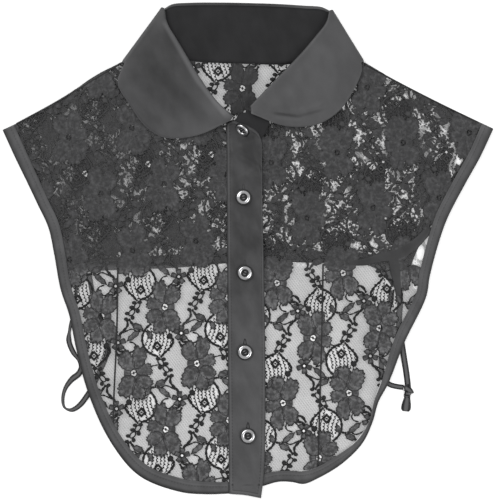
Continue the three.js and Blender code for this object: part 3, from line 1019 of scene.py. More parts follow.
def tube(grid: Array, surface: Array, ring: bool = False) -> Shape:
    """A closed body from sections of points.

    Args:
        grid: Points by section and place round it.
        surface: Two surface coordinates for each.
        ring: Whether the last section meets the first. If it doesn't, the ends are closed.

    Returns:
        The body.
    """
    count, size = grid.shape[:2]
    faces = closed_faces(count, size, ring=ring)
    if not ring:
        faces.append(tuple(range(size)))
        faces.append(tuple(range(count * size - 1, (count - 1) * size - 1, -1)))
    return Shape(grid.reshape(-1, 3), faces, surface.reshape(-1, 2)).outwards()


def swept(line: Array, across: Array, section: Sequence[Row], ring: bool = False) -> Shape:
    """A closed section carried along a line.

    Args:
        line: The line's points.
        across: A level direction at each point, at the scale of the section's first number.
        section: Rows of how far across, how high, and the surface coordinate across.
        ring: Whether the line is a ring.

    Returns:
        The strip.
    """
    rows = np.array(section, float)[None]
    grid = line[:, None] + across[:, None] * rows[..., :1] + UP * rows[..., 1:2]
    surface = np.stack(np.broadcast_arrays(run_of(line)[:, None] * MM, rows[..., 2]), axis=-1)
    return tube(grid, surface, ring)


# ---- worked thread ----

PETAL_RINGS = (  # share of the way to the outline, height
    (0, 0.48), (0.45, 0.52), (0.85, 0.38), (0.92, 0.56), (1, 0.34), (1, 0),
)
PETAL_RIBS = 9
STRAND_TOP = 0.52


@dataclass
class ThreadWork:
    """Raised thread shapes in one repeat's own plan, each closed."""

    shapes: list[Shape] = field(default_factory=list)

    def filled(self, outline: Array, middle: Row, lift: float = 1.0, dark: float = 0.0) -> None:
        """Adds a filled shape with a cord round it.

        Args:
            outline: Its outline, as plan points anticlockwise.
            middle: The point that its rings shrink to.
            lift: A factor on its height.
            dark: How far its fill is worked in the cord's dark thread.
        """
        count, rings = len(outline), len(PETAL_RINGS) - 1
        centre = np.array(middle, float)
        turn = np.arange(count) / count
        points = [np.array([[*centre, PETAL_RINGS[0][1] * lift]])]
        surface = [np.array([[0.0, 0.0]])]
        for share, height in PETAL_RINGS[1:]:
            ribs = 0.28 * np.sin(turn * FULL_TURN * PETAL_RIBS) * share * (1.0 - share)
            points.append(np.column_stack([mix(centre, outline, share), (height + ribs) * lift]))
            surface.append(np.column_stack([np.full(count, share), turn]))
        faces = [(0, 1 + k, 1 + (k + 1) % count) for k in range(count)]
        faces += closed_faces(rings, count, first=1)
        faces.append(tuple(range(rings * count, (rings - 1) * count, -1)))
        shape = Shape(np.concatenate(points), faces, np.concatenate(surface)).outwards()
        shape.surface[:, 0] = mix(shape.surface[:, 0], 1.0, dark)
        self.shapes.append(shape)

    def petal(self, x: float, y: float, long: float, wide: float, angle: float, scallops: int = 5,
              count: int = 45, lift: float = 1.0, dark: float = 0.0) -> None:
        """Adds a petal, scalloped at its outer end.

        Args:
            x: Its middle.
            y: Its middle.
            long: Half its length.
            wide: Half its width.
            angle: Which way it points, in degrees.
            scallops: How many scallops its outline has.
            count: How many points its outline has.
            lift: A factor on its height.
            dark: How far its fill is worked in the cord's dark thread.
        """
        turn = np.linspace(0.0, FULL_TURN, count, endpoint=False)
        outer = fade(np.cos(turn), -0.75, 0.0)
        step = np.arange(count)
        jagged = 0.085 * np.where(step % 3 == 0, -1.0, 0.5) * (1.0 + 0.6 * np.sin(step * 1.7 + x))
        reach = 1.0 + jagged * outer + 0.09 * (np.abs(np.sin(scallops * turn / 2.0)) - 0.5) * outer
        reach = reach + 0.05 * np.sin(turn * 3.0 + angle)
        spread = 1.0 + 0.2 * np.cos(turn)
        blunt = np.sign(np.cos(turn)) * np.abs(np.cos(turn)) ** 0.82
        broad = np.sign(np.sin(turn)) * np.abs(np.sin(turn)) ** 0.8
        along, over = long * blunt * reach, wide * broad * reach * spread
        lean = math.radians(angle)
        outline = np.column_stack([x + along * math.cos(lean) - over * math.sin(lean),
                                   y + along * math.sin(lean) + over * math.cos(lean)])
        self.filled(outline, (x, y), lift, dark)

    def leaf(self, start: Row, end: Row, wide: float, count: int = 8) -> None:
        """Adds a ragged leaf with two points.

        Args:
            start: One point.
            end: The other.
            wide: Half its width.
            count: How many points each side has.
        """
        start, end = np.array(start, float), np.array(end, float)
        side = unit(np.array([-(end - start)[1], (end - start)[0]]))
        share = np.linspace(0.0, 1.0, count)
        ragged = 1.0 + 0.22 * np.sin(np.arange(count) * 2.3 + wide)
        bulge = (wide * np.sin(math.pi * share) * ragged)[:, None] * side
        spine = mix(start, end, share[:, None])
        outline = np.concatenate([spine - bulge, (spine + bulge)[-2:0:-1]])
        self.filled(outline, (start + end) / 2.0, dark=0.5)

    def _cord(self, line: Array, across: Array, wide: float, ring: bool = False) -> None:
        """Adds a cord.

        Args:
            line: Its points, at height 0.
            across: A level direction at each point.
            wide: Its width.
            ring: Whether the line is a ring.
        """
        section = ((-wide / 2.0, 0.0, 0.0), (0.0, STRAND_TOP, 0.5), (wide / 2.0, 0.0, 1.0))
        shape = swept(line, across, section, ring)
        shape.surface[:, 0] = 1.0
        self.shapes.append(shape)

    def strand(self, rows: Iterable[Row], wide: float, steps: int) -> None:
        """Adds a knobbly cord along a line.

        Args:
            rows: The plan points that it passes through.
            wide: Its width.
            steps: How many stretches it has.
        """
        line = soft_line(rows, steps)
        line = np.column_stack([line, np.zeros(len(line))])
        knobbly = 1.0 + 0.28 * np.sin(np.arange(len(line)) * 2.1 + len(line))[:, None]
        self._cord(line, level_across(line) * knobbly, wide)

    def ring(self, oval: Oval, wide: float, count: int, angle: float = 0.0) -> None:
        """Adds a cord of so many points round an oval, turned by an angle in degrees."""
        line = oval.outline(count, angle)
        self._cord(line, level_across(line, ring=True), wide, ring=True)

    def knob(self, x: float, y: float, wide: float, high: float, count: int = 8) -> None:
        """Adds a small raised dot.

        Args:
            x: Its middle.
            y: Its middle.
            wide: Half its width.
            high: Half its height on the plan.
            count: How many points it has round it.
        """
        rim = Oval(x, y, wide, high).outline(count)
        inner = mix(np.array([x, y, 0.0]), rim, 0.6) + 0.5 * UP
        faces = [tuple(range(count)), tuple(range(2 * count - 1, count - 1, -1)), *closed_faces(2, count)]
        self.shapes.append(Shape(np.concatenate([inner, rim]), faces, np.ones((2 * count, 2))).outwards())

    def heart(self, oval: Oval, out: float, count: int = 24) -> None:
        """Adds the band round an eyelet, which a flower's petals meet.

        Args:
            oval: The eyelet.
            out: The band's width.
            count: How many points it has round it.
        """
        section = ((0.0, 0.0, 1.0), (0.0, 0.35, 1.0), (-0.45, 0.6, 1.0), (-1.0, 0.42, 0.6),
                   (-out, 0.4, 0.2), (-out, 0.0, 0.2))
        line = oval.outline(count)
        shape = swept(line, level_across(line, ring=True), section, ring=True)
        shape.surface[:, 0] = np.tile([row[2] for row in section], count)
        self.shapes.append(shape)


PETALS = (  # x, y, half length, half width, angle, scallops
    (-4.1, 12.4, 9.5, 5.7, 97, 7),
    (5.6, 9.4, 8.6, 6.2, 63, 6),
    (-8.6, 2.5, 6.9, 4.9, 168, 5),
    (-8.6, -7.1, 7.2, 5.4, 208, 6),
    (-3.9, -14, 8.7, 5.3, 262, 6),
    (5.2, -10.2, 9.7, 6.8, 291, 8),
)
MEDALLION_LEFT = (
    (-11.2, -13.6), (-16, -18.2), (-18.6, -25), (-17.2, -32.6), (-12.2, -37.8), (-5.6, -40.6),
)
MEDALLION_RIGHT = (
    (-3.6, -41.4), (-0.6, -38), (3.2, -34.2), (6.2, -30.4), (6.8, -26.8), (4.6, -24.6),
)
ROSETTE = (-6.3, -32.2)
DOT_COLUMNS = (-15.6, -12.4, -9.2, -6, -3, 0.2, 3.2)
CHAIN = ((-3.5, -45.2), (0.9, -50.8))
CHAIN_BLOBS = (  # x, y, half width, half height
    (-5.6, -42.4, 2.1, 1.7), (-1, -42.8, 2, 1.6), (0.8, -46.6, 2.4, 1.7), (-4, -49.4, 1.9, 2.2),
    (4.6, -51.6, 2.2, 1.6), (0.2, -55, 1.8, 2), (-1.4, -48, 1.1, 1.1),
)
LEAVES = (  # two points and half the width
    ((1.6, -60.2), (-8.8, -64.4), 2.9), ((-6.6, -64.6), (5.4, -74.8), 2.5),
    ((-11.6, -64.4), (-15.6, -73.4), 2.2),
)
STEMS = (  # width, then the line
    (2, ((5, -56), (4.4, -61.5), (7.6, -65.6), (10.4, -68.4), (11.6, -71))),
    (2, ((3.4, -56), (0.8, -59.6), (-2.6, -63), (-6.6, -65))),
    (1, ((-22, 7.2), (-15.6, 5.8), (-10, 4.6))),
    (1.8, ((-6.9, -65.4), (-11.5, -66.6), (-14.6, -70.4))),
    (2.1, ((12.6, -79.4), (11, -82.6), (7.2, -83), (5.6, -85.6), (7.6, -88), (11.4, -86.6),
           (14, -82.2))),
    (1.2, ((2.8, -74.8), (-1.4, -76.2), (-2.8, -79.4), (-0.8, -82.4), (3.4, -83.2), (6.4, -81.2),
           (8.4, -78.2))),
    (1.2, ((-6.4, -66.4), (-3, -66), (0.6, -64.4), (4.4, -65.6), (8.2, -67.6))),
)


def dotted_columns(work: ThreadWork) -> None:
    """Adds the swaying, dotted columns that fill the medallion round its rosette.

    Args:
        work: The thread that they are added to.
    """
    for index, x in enumerate(DOT_COLUMNS):
        across = (x - MEDALLION.x) / MEDALLION.wide
        reach = MEDALLION.high * math.sqrt(max(0.0, 1.0 - across ** 2)) - 1.0
        top, bottom = MEDALLION.y + reach, MEDALLION.y - reach
        if -8.0 < x < 2.0:  # under the flower
            top = min(top, -20.5)
        if -8.0 < x < -4.0:  # over the rosette
            bottom = -28.4
        steps = max(4, int((top - bottom) / 1.3))
        heights = np.linspace(top, bottom, steps + 1)
        sway = 1.8 * np.sin((heights - MEDALLION.y) / 4.6 + 0.5 + 0.16 * index)
        sway = sway + 0.3 * np.where(np.arange(steps + 1) % 2 == 0, 1.0, -1.0)
        work.strand(np.column_stack([x + sway, heights]), 0.75, steps)
        for k in range(0, steps + 1, 2):
            work.knob(x + sway[k] + 0.3, heights[k], 0.85, 0.75, 5)


def lace_repeat() -> ThreadWork:
    """One flower with the medallion, chain, stems and small flower that hang from it.

    Returns:
        Its thread.
    """
    work = ThreadWork()
    for index, (x, y, long, wide, angle, scallops) in enumerate(PETALS):
        work.petal(x, y, long, wide, angle, scallops, lift=0.9 + 0.07 * (index % 2))
    work.heart(EYELET, 5.8)
    work.knob(EYELET.x, EYELET.y, 0.8, 1.3)
    work.strand(((-2.5, 1.0), (0.0, 0.0), (2.5, -0.9)), 0.6, 2)
    work.strand(MEDALLION_LEFT, 1.9, 26)
    work.strand(MEDALLION_RIGHT, 1.8, 20)
    work.knob(4.0, -23.8, 2.4, 2.5, 12)
    work.ring(Oval(*ROSETTE, 3.0, 3.2), 2.6, 4)
    work.ring(Oval(*ROSETTE, 2.4, 2.5), 1.3, 8, angle=22.0)
    work.knob(*ROSETTE, 1.1, 0.7)
    dotted_columns(work)
    for index, (x, y) in enumerate(CHAIN):
        work.ring(Oval(x, y, 1.9, 3.1), 1.15, 12, angle=36.0 + 6.0 * index)
    for blob in CHAIN_BLOBS:
        work.knob(*blob)
    for wide, line in STEMS:
        work.strand(line, wide, 12)
    work.knob(5.6, -56.2, 1.9, 1.6)
    for leaf in LEAVES:
        work.leaf(*leaf)
    for k in range(5):
        angle = 72.0 * k + 20.0
        x = SMALL_EYELET.x + 4.1 * math.cos(math.radians(angle))
        y = SMALL_EYELET.y + 4.1 * math.sin(math.radians(angle))
        work.petal(x, y, 2.7, 2.2, angle, scallops=2, count=12, dark=0.6)
    work.ring(SMALL_EYELET, 1.3, 12)
    return work


def inside(points: Array, border: Array) -> Array:
    """Which plan points lie inside a closed border.

    Args:
        points: The points.
        border: The border's points in order.

    Returns:
        True or False for each.
    """
    x, y = points[:, :1], points[:, 1:2]
    x1, y1 = border[:, 0], border[:, 1]
    x2, y2 = np.roll(x1, -1), np.roll(y1, -1)
    spans = (y1 > y) != (y2 > y)
    crossing = x1 + (y - y1) * (x2 - x1) / np.where(y2 == y1, 1e-12, y2 - y1)
    return (np.count_nonzero(spans & (x < crossing), axis=1) % 2) == 1


def onto_border(points: Array, border: Array) -> Array:
    """The nearest place on a closed border to each plan point.

    Args:
        points: The points.
        border: The border's points in order.

    Returns:
        A place for each.
    """
    way = np.roll(border, -1, axis=0) - border
    offset = points[:, None] - border[None]
    share = np.clip((offset * way).sum(-1) / np.maximum((way * way).sum(-1), 1e-12), 0.0, 1.0)
    nearest = border[None] + way[None] * share[..., None]
    best = np.argmin(np.linalg.norm(points[:, None] - nearest, axis=-1), axis=1)
    return nearest[np.arange(len(points)), best]


# ---- lace panels ----

SEAM_WIDE = 1.5
SEAM_SECTION = (  # share across, height, inward place
    (-0.5, 0, 0), (-0.37, 0.5, 1.2), (0, 0.66, 2), (0.37, 0.5, 1.2), (0.5, 0, 0),
)
REPEAT_REACH = 92.0
FULLER_GAP = (-158, 180)  # the middle of the back, which has no fuller flowers
GAP_MARGIN = 1.5
LARGE_POINTS = 60


@dataclass
class LacePanel:
    """A lace panel: net cut to the frame's panel, with its flowers worked on it."""

    node: str
    repeat: LaceRepeat
    floor: Height
    flat: Pair
    area: float
    rests_on: tuple[str, ...]
    seams: tuple[tuple[Row, ...], ...] = ()
    bands: tuple[tuple[Row, ...], ...] = ()
    gaps: tuple[Oval, ...] = ()
    fuller: LaceRepeat | None = None
    net_settings: dict = field(default_factory=dict)
    net_low: float = 0.28
    net_wall: float = 0.22
    work_low: float = 0.42

    def skin(self) -> tuple[Array, list[tuple[int, ...]], Array]:
        """The frame's panel from above.

        Returns:
            Plan points, the faces between them, and the border in order.
        """
        mesh = bmesh.new()
        mesh.from_mesh(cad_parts[self.node].data)
        bmesh.ops.remove_doubles(mesh, verts=mesh.verts, dist=1e-6)
        bmesh.ops.delete(mesh, geom=[f for f in mesh.faces if f.normal.z < 0.5], context="FACES")
        mesh.verts.index_update()
        points = np.array([tuple(v.co) for v in mesh.verts])[:, :2] / MM - (0.0, PLAN_TO_FRAME_Y)
        faces = [tuple(v.index for v in face.verts) for face in mesh.faces]
        after = {}
        for edge in mesh.edges:
            if edge.is_boundary:
                loop = edge.link_loops[0]
                after[loop.vert.index] = loop.link_loop_next.vert.index
        order = [next(iter(after))]
        while after[order[-1]] != order[0]:
            order.append(after[order[-1]])
        mesh.free()
        return points, faces, points[order]

    def net(self, points: Array, faces: list[tuple[int, ...]]) -> Piece:
        """The net, as a thin closed sheet.

        Args:
            points: Plan points.
            faces: The faces between them.

        Returns:
            The piece.
        """
        shape = Shape(laid(points, self.floor, self.net_low), faces, points * MM)
        material = NetFinish(f"net {self.node}", self.repeat, self.gaps, **self.net_settings).build()
        piece = add_piece(f"{self.node}_net", shape, material)
        modify(piece, "SOLIDIFY", thickness=self.net_wall * MM, offset=1.0, use_even_offset=False)
        piece.select_set(False)
        return piece

    def _left_out(self, middle: Array, fuller: bool) -> bool:
        """Whether a shape is left out: one in a gap, or a fuller flower in the middle of the back."""
        in_gap = any(gap.grown(GAP_MARGIN).reach(*middle) < 1.0 for gap in self.gaps)
        return in_gap or fuller and FULLER_GAP[0] < middle[0] < FULLER_GAP[1]

    def flowers(self, shapes: Sequence[Shape], border: Array, finish: Material,
                repeat: LaceRepeat, name: str) -> Piece:
        """The worked thread over the whole panel, trimmed at its border.

        Args:
            shapes: One repeat's shapes.
            border: The panel's border.
            finish: The thread's material.
            repeat: How they repeat.
            name: The piece's name.

        Returns:
            The piece.
        """
        placed = []
        for spot, mirrored in repeat.places(border.min(0), border.max(0), REPEAT_REACH):
            scale = np.array([-1.0 if mirrored else 1.0, 1.0]) * repeat.sign
            for shape in shapes:
                plan = shape.points[:, :2] * scale + spot
                within = inside(plan, border)
                if not within.any() or self._left_out(plan.mean(axis=0), repeat is not self.repeat):
                    continue
                if not within.all():
                    plan[~within] = onto_border(plan[~within], border)
                faces = [face[::-1] for face in shape.faces] if mirrored else shape.faces
                points = laid(plan, self.floor, self.work_low + shape.points[:, 2])
                placed.append(Shape(points, faces, shape.surface))
        return add_piece(name, joined(placed), finish)

    def dart(self, rows: tuple[Row, ...]) -> Shape:
        """A seam or a wider band on the panel.

        Args:
            rows: Its line's x and y and, where it isn't fine, its width.

        Returns:
            The strip.
        """
        line = soft_line([row if len(row) > 2 else (*row, SEAM_WIDE) for row in rows], 60)
        wide = line[:, 2:3]
        line = laid(line[:, :2], self.floor, self.work_low)
        section = [(across, up, inward * MM) for across, up, inward in SEAM_SECTION]
        return swept(line, level_across(line) * wide, section)

    def build(self, work: ThreadWork, thread: Material, seam_finish: Material,
              band_finish: Material) -> None:
        """Args:
            work: One repeat of its thread.
            thread: The thread's finish.
            seam_finish: The finish of a seam down it.
            band_finish: The finish of a wider band on it.
        """
        points, faces, border = self.skin()
        net = self.net(points, faces)
        pieces = [net, self.flowers(work.shapes, border, thread, self.repeat, f"{self.node}_flowers")]
        if self.fuller:
            large = [shape for shape in work.shapes if len(shape.points) > LARGE_POINTS]
            pieces.append(self.flowers(large, border, thread, self.fuller, f"{self.node}_more_flowers"))
        strips = (("seams", self.seams, seam_finish), ("facing", self.bands, band_finish))
        for name, lines, finish in strips:
            if lines:
                shape = joined([self.dart(rows) for rows in lines])
                pieces.append(add_piece(f"{self.node}_{name}", shape, finish))
        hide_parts(self.node)
        for piece in pieces:
            dress(piece)


# ---- satin strips ----

LAP = 0.9
FINISH_WIDTH = 8.9


@dataclass
class Edge:
    """A bound edge and the side that the cloth is on.

    Each row is the outer line's x and y, the width to the seam and how far the fold laps over it.
    """

    rows: tuple[Row, ...]
    side: int
    steps: int = 150

    def lines(self) -> tuple[Array, Array, Array]:
        """The edge's points.

        Returns:
            The outer line, the way in from it as long as the binding is wide, and the lap.
        """
        line = soft_line([row if len(row) > 3 else (*row, LAP) for row in self.rows], self.steps)
        inward = level_across(line)[:, :2] * self.side
        return line[:, :2], inward * line[:, 2:3], line[:, 3:4]


BINDING_SECTION = (  # share across, share of the wall's height
    (0.035, 0.03), (0, 0.2), (0, 0.4), (0.02, 0.62), (0.07, 0.8), (0.16, 0.9), (0.3, 0.93),
    (0.46, 0.92), (0.58, 0.94), (0.66, 1.04), (0.73, 1.14), (0.79, 1.08), (0.84, 0.84), (0.9, 0.98),
    (0.97, 0.97),
)


@dataclass
class Binding:
    """A folded satin strip over a panel's raw edge."""

    node: str
    edge: Edge
    floor: Height
    top: float
    rests_on: tuple[str, ...]
    lace_top: float = 1.02
    turned_in: float = 2.0

    def build(self, finish: Material) -> None:
        """Args:
            finish: Its satin.
        """
        outer, inward, lap = self.edge.lines()
        width = np.linalg.norm(inward, axis=1, keepdims=True)
        wide = width[:, 0]
        wavy = np.arange(len(outer))
        rows = []
        for share, height in BINDING_SECTION:
            pucker = 0.04 * np.sin(wavy * 0.9 + share * 5.0) * (height > 0.7)
            inwards = share * wide
            inwards = inwards + fade(inwards, 1.5, 4.0) * (FINISH_WIDTH - LAP - wide)
            plan = outer + inward * share * (1.0 + (lap - LAP) / width)
            rows.append((plan, (height + pucker) * self.top, inwards))
        seam, over, on_lace = outer + inward, outer + inward * (1.0 + lap / width), self.lace_top + 0.04
        rows += [(over, self.top * 0.95, FINISH_WIDTH), (over, on_lace, FINISH_WIDTH),
                 (seam, on_lace, wide), (seam, 0.03, wide)]
        along = run_of(outer)
        grid = np.stack([laid(plan, self.floor, height) for plan, height, _ in rows], axis=1)
        surface = np.stack([np.column_stack(np.broadcast_arrays(along, inwards))
                            for _, _, inwards in rows], axis=1) * MM
        piece = add_piece(self.node.replace("binding", "bias_strip"), tube(grid, surface), finish)
        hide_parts(self.node)
        dress(piece)
        shown = float(width.mean() + lap.mean()) - LAP + self.turned_in
        max(shown, 10.0) * MM


FRONT_EDGE_LEFT = (
    (-201, 99.5, 9.5), (-191, 77.5, 9.5), (-182, 59, 9), (-172, 38, 8.5), (-163.5, 19.5, 8.5),
    (-159, -1, 8.2), (-153.5, -31, 8), (-146.5, -52, 8), (-140.5, -81, 8), (-130, -118.5, 8, 1.3),
    (-111.5, -158, 8, 1.9), (-89, -184, 8, 2.9), (-56, -197, 8, 3.1), (-35, -199, 8, 2.4),
    (-15.4, -198.5, 8, 1.6),
)
FRONT_EDGE_RIGHT = (
    (201, 100.5, 9.5), (190, 77, 9), (178, 55.5, 9), (163.5, 27.5, 9), (156.5, 8, 8.5),
    (149, -20, 8), (146, -37, 8), (128, -75, 8), (115, -108, 5), (107, -123, 2.8),
    (102, -140, 2.2), (94, -157, 4), (77, -174, 7), (58, -185.6, 8), (45.5, -190.6, 10), (36, -189, 8.5),
    (25, -188.8, 8), (11.6, -192.5, 9),
)
BACK_EDGE_LEFT = (
    (-200, 99.3, 8.5), (-188, 76, 8.5), (-177, 56, 8.5), (-163, 26, 8.5), (-153, 2, 8.5),
    (-145.8, -20.5, 8.5),
)
BACK_EDGE_RIGHT = (
    (200, 100.2, 8.5), (188, 76, 8.5), (170, 49, 8.5), (150, 21, 8.5), (137, -3, 8.5), (127.5, -33, 6),
)
BACK_HEM = (
    (-137.3, -18.6, 8.9), (-128, -16.4, 9.6), (-114, -15.4, 10.1), (-98, -14.8, 9.7), (-60, -13.4, 9.7),
    (0, -8.6, 9), (60, -9.4, 8.8), (84, -9.8, 8.5), (100, -12, 8.5), (110, -18.5, 7), (118.4, -29.5, 4.2),
)


# ---- the collar ----

COLLAR_LEFT = (  # roll, edge and seam, each x and y, from the front to the side of the neck
    (-12.5, 110, -14.5, 106.6, -15.5, 105.5), (-26, 123, -42.5, 94.7, -33, 113),
    (-39.5, 141.5, -68, 93, -52, 126), (-49.5, 158, -83.5, 102, -66, 141),
    (-58.5, 173, -96.5, 119.5, -76, 154), (-66.5, 187, -106.6, 138, -82, 162),
    (-68.5, 198.3, -101, 153.6, -84, 166.5),
)
COLLAR_RIGHT = (
    (2, 118.2, 2.5, 112.3, 7, 104), (16, 133, 31, 102.5, 24, 111), (31, 148.5, 57, 104, 42, 122.5),
    (44, 162, 75, 115.5, 57, 136), (55.5, 175.5, 87, 133, 69, 150), (64.5, 187.5, 92.9, 147.4, 76, 160),
    (66.9, 196.6, 92.6, 154.4, 78, 165),
)
COLLAR_BACK = (
    (-68.5, 198.3, -101, 153.6, -84, 166.5), (-62, 202, -86, 158.5, -69, 161),
    (-48, 203.2, -63, 160.5, -50, 157), (-24, 203.4, -30, 162, -25, 155.3), (0, 203, 0, 162.5, 0, 154.5),
    (25, 202.2, 29, 162, 25, 154), (47, 200.8, 59, 159.5, 47, 155.5), (60, 199.8, 78, 157.8, 64, 159.5),
    (66.9, 196.6, 92.6, 154.4, 78, 165),
)


CREASE_ARC = ((18, 36.9, 48.4, 58.2, 68), (112.4, 110.3, 111.9, 114.6, 119))  # x, then y
STAND_SIDES = (  # left, right, bottom and top
    ((-15.5, 98), (-12.5, 105), (-6.5, 112.5)), ((10, 91), (14.5, 97.5), (18, 107.5)),
    ((-15.5, 98), (-3, 94), (10, 91)), ((-6.5, 112.5), (6, 115), (18, 107.5)),
)


@dataclass
class Station:
    """A section through the pressed collar."""

    roll: Array
    edge: Array
    seam: Array
    share: float
    side: float
    turn: float


@dataclass
class Collar:
    """The collar and its neck band, a ring pressed flat with its two leaves in front."""

    ring_centre: float = 3.2
    collar_offset: float = 2.5
    roll_offset: float = 0.85
    leaf_on_front: float = 2.2
    band_on_yoke: float = 0.65
    sewn_edge: float = 1.2
    roll_puff: float = 2.0
    roll_drop: float = 0.3
    band_drop: float = 0.15
    leaf_wall: float = 1.1
    band_wall: float = 0.85
    leaf_stations: int = 60
    back_stations: int = 56
    fold_stations: int = 12
    band_start: int = 8
    over_seam: float = 1.0

    def stations(self) -> list[Station]:
        """The sections, from the left leaf's tip round the back to the right leaf's tip.

        Returns:
            The sections in order.
        """
        left = self._sampled(COLLAR_LEFT, self.leaf_stations, -1.0, 0.0)
        right = self._sampled(COLLAR_RIGHT, self.leaf_stations, 1.0, 0.0)
        back = self._sampled(COLLAR_BACK, self.back_stations, 1.0, math.pi)
        return [*left, *self._folds(left[-1]), *back, *self._folds(right[-1])[::-1], *right[::-1]]

    def _sampled(self, rows: tuple[Row, ...], count: int, side: float, turn: float) -> list[Station]:
        """Sections along a stretch of the ring.

        Args:
            rows: Its roll, edge and seam.
            count: How many stretches it is cut into.
            side: The side of the neck, -1 or 1.
            turn: How far the sections are turned over.

        Returns:
            count + 1 sections.
        """
        roll, edge, seam = (soft_line([row[k:k + 2] for row in rows], count, even=False)
                            for k in (0, 2, 4))
        return [Station(roll[k], edge[k], seam[k], k / count, side, turn) for k in range(count + 1)]

    def _folds(self, last: Station) -> list[Station]:
        """Sections that turn over at a side of the neck."""
        turns = (math.pi * (k + 1) / self.fold_stations for k in range(self.fold_stations - 1))
        return [Station(last.roll, last.edge, last.seam, 1.0, last.side, turn) for turn in turns]

    def roll_of(self, station: Station) -> tuple[float, float, float]:
        """The roll of a section.

        Args:
            station: The section.

        Returns:
            The sewn edge's and the crown's offsets from the ring's centre, and the roll's radius.
        """
        if station.turn > 0.0:
            sewn, crown = self.roll_offset, self.collar_offset
        else:
            floor = LIE.front(*station.roll) + LIE.tip(*station.roll)
            sewn = float(floor - self.ring_centre + self.roll_offset - self.roll_drop)
            puff = self.roll_puff * max(math.sin(math.pi * station.share), 0.0) ** 0.7
            crown = sewn + self.collar_offset - self.roll_offset + puff
        return sewn, crown, (crown - sewn) / 2.0

    def point(self, station: Station, target: Array, along: float, out: float) -> Array:
        """A section's point.

        Args:
            station: The section.
            target: Where the section ends, on the plan.
            along: How far the point is from the roll.
            out: How far it is from the ring's centre.

        Returns:
            The point.
        """
        reach = self.roll_of(station)[2] + self.sewn_edge + SEAM_GAP
        way = unit(unit(station.edge - station.roll) + unit(station.seam - station.roll))
        place = station.roll + way * min(along, reach)
        rest = max(along - reach, 0.0) / (float(np.linalg.norm(target - station.roll)) - reach)
        place = mix(place, target, rest)
        place = place + np.array([way[1], -way[0]]) * (-station.side * out * math.sin(station.turn))
        return np.array([*place, self.ring_centre + out * math.cos(station.turn)])

    def _lie(self, station: Station, target: Array, along: float, above: float, flat: float,
             on_tip: float) -> float:
        """How far from the ring's centre the cloth lies, away from the roll.

        Args:
            station: The section.
            target: Where the section ends, on the plan.
            along: How far the point is from the roll.
            above: How far it is above the fronts.
            flat: How far out it is where the section is turned over.
            on_tip: The share of the lift that it gets near the fastened front.

        Returns:
            The distance.
        """
        if station.turn > 0.0:
            return flat
        x, y, _ = self.point(station, target, along, 0.0)
        return float(LIE.front(x, y) + above - self.ring_centre + on_tip * LIE.tip(x, y))

    def leaf_section(self, station: Station) -> list[Array]:
        """The collar's section, from its sewn edge over the roll to its free edge.

        Args:
            station: The section.

        Returns:
            Its points.
        """
        sewn, crown, radius = self.roll_of(station)
        width = float(np.linalg.norm(station.edge - station.roll))
        places = [(radius + self.sewn_edge * share, sewn) for share in (1.0, 0.6, 0.25)]
        places += [(radius * (1.0 - math.sin(angle)), sewn + radius * (1.0 - math.cos(angle)))
                   for angle in np.linspace(0.0, math.pi, 11)]
        for share in np.linspace(0.0, 1.0, 27)[1:]:
            along = mix(radius, width, share)
            lie = self._lie(station, station.edge, along, self.leaf_on_front, self.collar_offset, 1.0)
            down = float(fade(along, radius, radius + min(24.0, width * 0.8)))
            places.append((along, mix(crown, lie, down)))
        return [self.point(station, station.edge, along, out) for along, out in places]

    def band_section(self, station: Station) -> list[Array]:
        """The neck band's section, from the roll to the neck seam.

        Args:
            station: The section.

        Returns:
            Its points.
        """
        sewn, _, radius = self.roll_of(station)
        width = float(np.linalg.norm(station.seam - station.roll))
        width += self.over_seam * (station.turn == math.pi)
        start, flat = sewn - self.band_drop, self.roll_offset - self.band_drop
        section = []
        for share in np.linspace(0.0, 1.0, 15):
            along = mix(radius + self.sewn_edge + SEAM_GAP, width, share)
            lie = self._lie(station, station.seam, along, self.band_on_yoke, flat, 0.0)
            out = mix(start, lie, float(fade(share, 0.0, 0.7)))
            section.append(self.point(station, station.seam, along, out))
        return section

    def crease(self, grid: Array) -> Array:
        """How far soft creases lift each point of the leaves.

        Args:
            grid: The leaf's points.

        Returns:
            The lift, in millimetres.
        """
        x, y = grid[..., 0], grid[..., 1]
        from_arc = y - np.interp(x, *CREASE_ARC)
        trough = 1.5 * hump(from_arc - 3.0, 2.0) - 0.5 * hump(from_arc, 1.4)
        held = fade(x, 16.0, 26.0) * fade(x, 72.0, 58.0)
        soft = 0.16 * (1.0 + np.sin(x * 0.11 + y * 0.05)) + 0.12 * (1.0 + np.sin(y * 0.17 - x * 0.07))
        return (soft * 0.8 + trough * held) * fade(y, 168.0, 150.0)

    def shell(self, middle: Array, wall_mm: float, lift: Array) -> Shape:
        """A thin cloth shell with a rounded free edge.

        Args:
            middle: Its middle surface, by station and place along the section.
            wall_mm: Its thickness.
            lift: How far each point is raised.

        Returns:
            The shell, whose surface runs round the ring and in from the free edge.
        """
        normal = grid_normals(middle)
        facing = normal[..., 2:3] * np.cos(self._turns(len(middle)))[:, None, None]
        normal = normal * np.where(facing < 0.0, -1.0, 1.0)
        from_edge = run_of(middle[:, ::-1], axis=1)[:, ::-1]
        half = (wall_mm / 2.0 * rounded(from_edge, 0.9, 0.04))[..., None]
        rise = UP * lift[..., None]
        along = run_of(middle[:, middle.shape[1] // 2])[:, None]
        surface = np.stack(np.broadcast_arrays(along, from_edge), axis=-1) * MM
        return wall(middle + normal * half + rise, middle - normal * half + rise * 0.8, surface)

    def _turns(self, count: int) -> Array:
        """The turn of each section, for the whole ring or for the neck band's part of it."""
        turns = np.array([station.turn for station in self.stations()])
        trim = (len(turns) - count) // 2
        return turns[trim:len(turns) - trim]

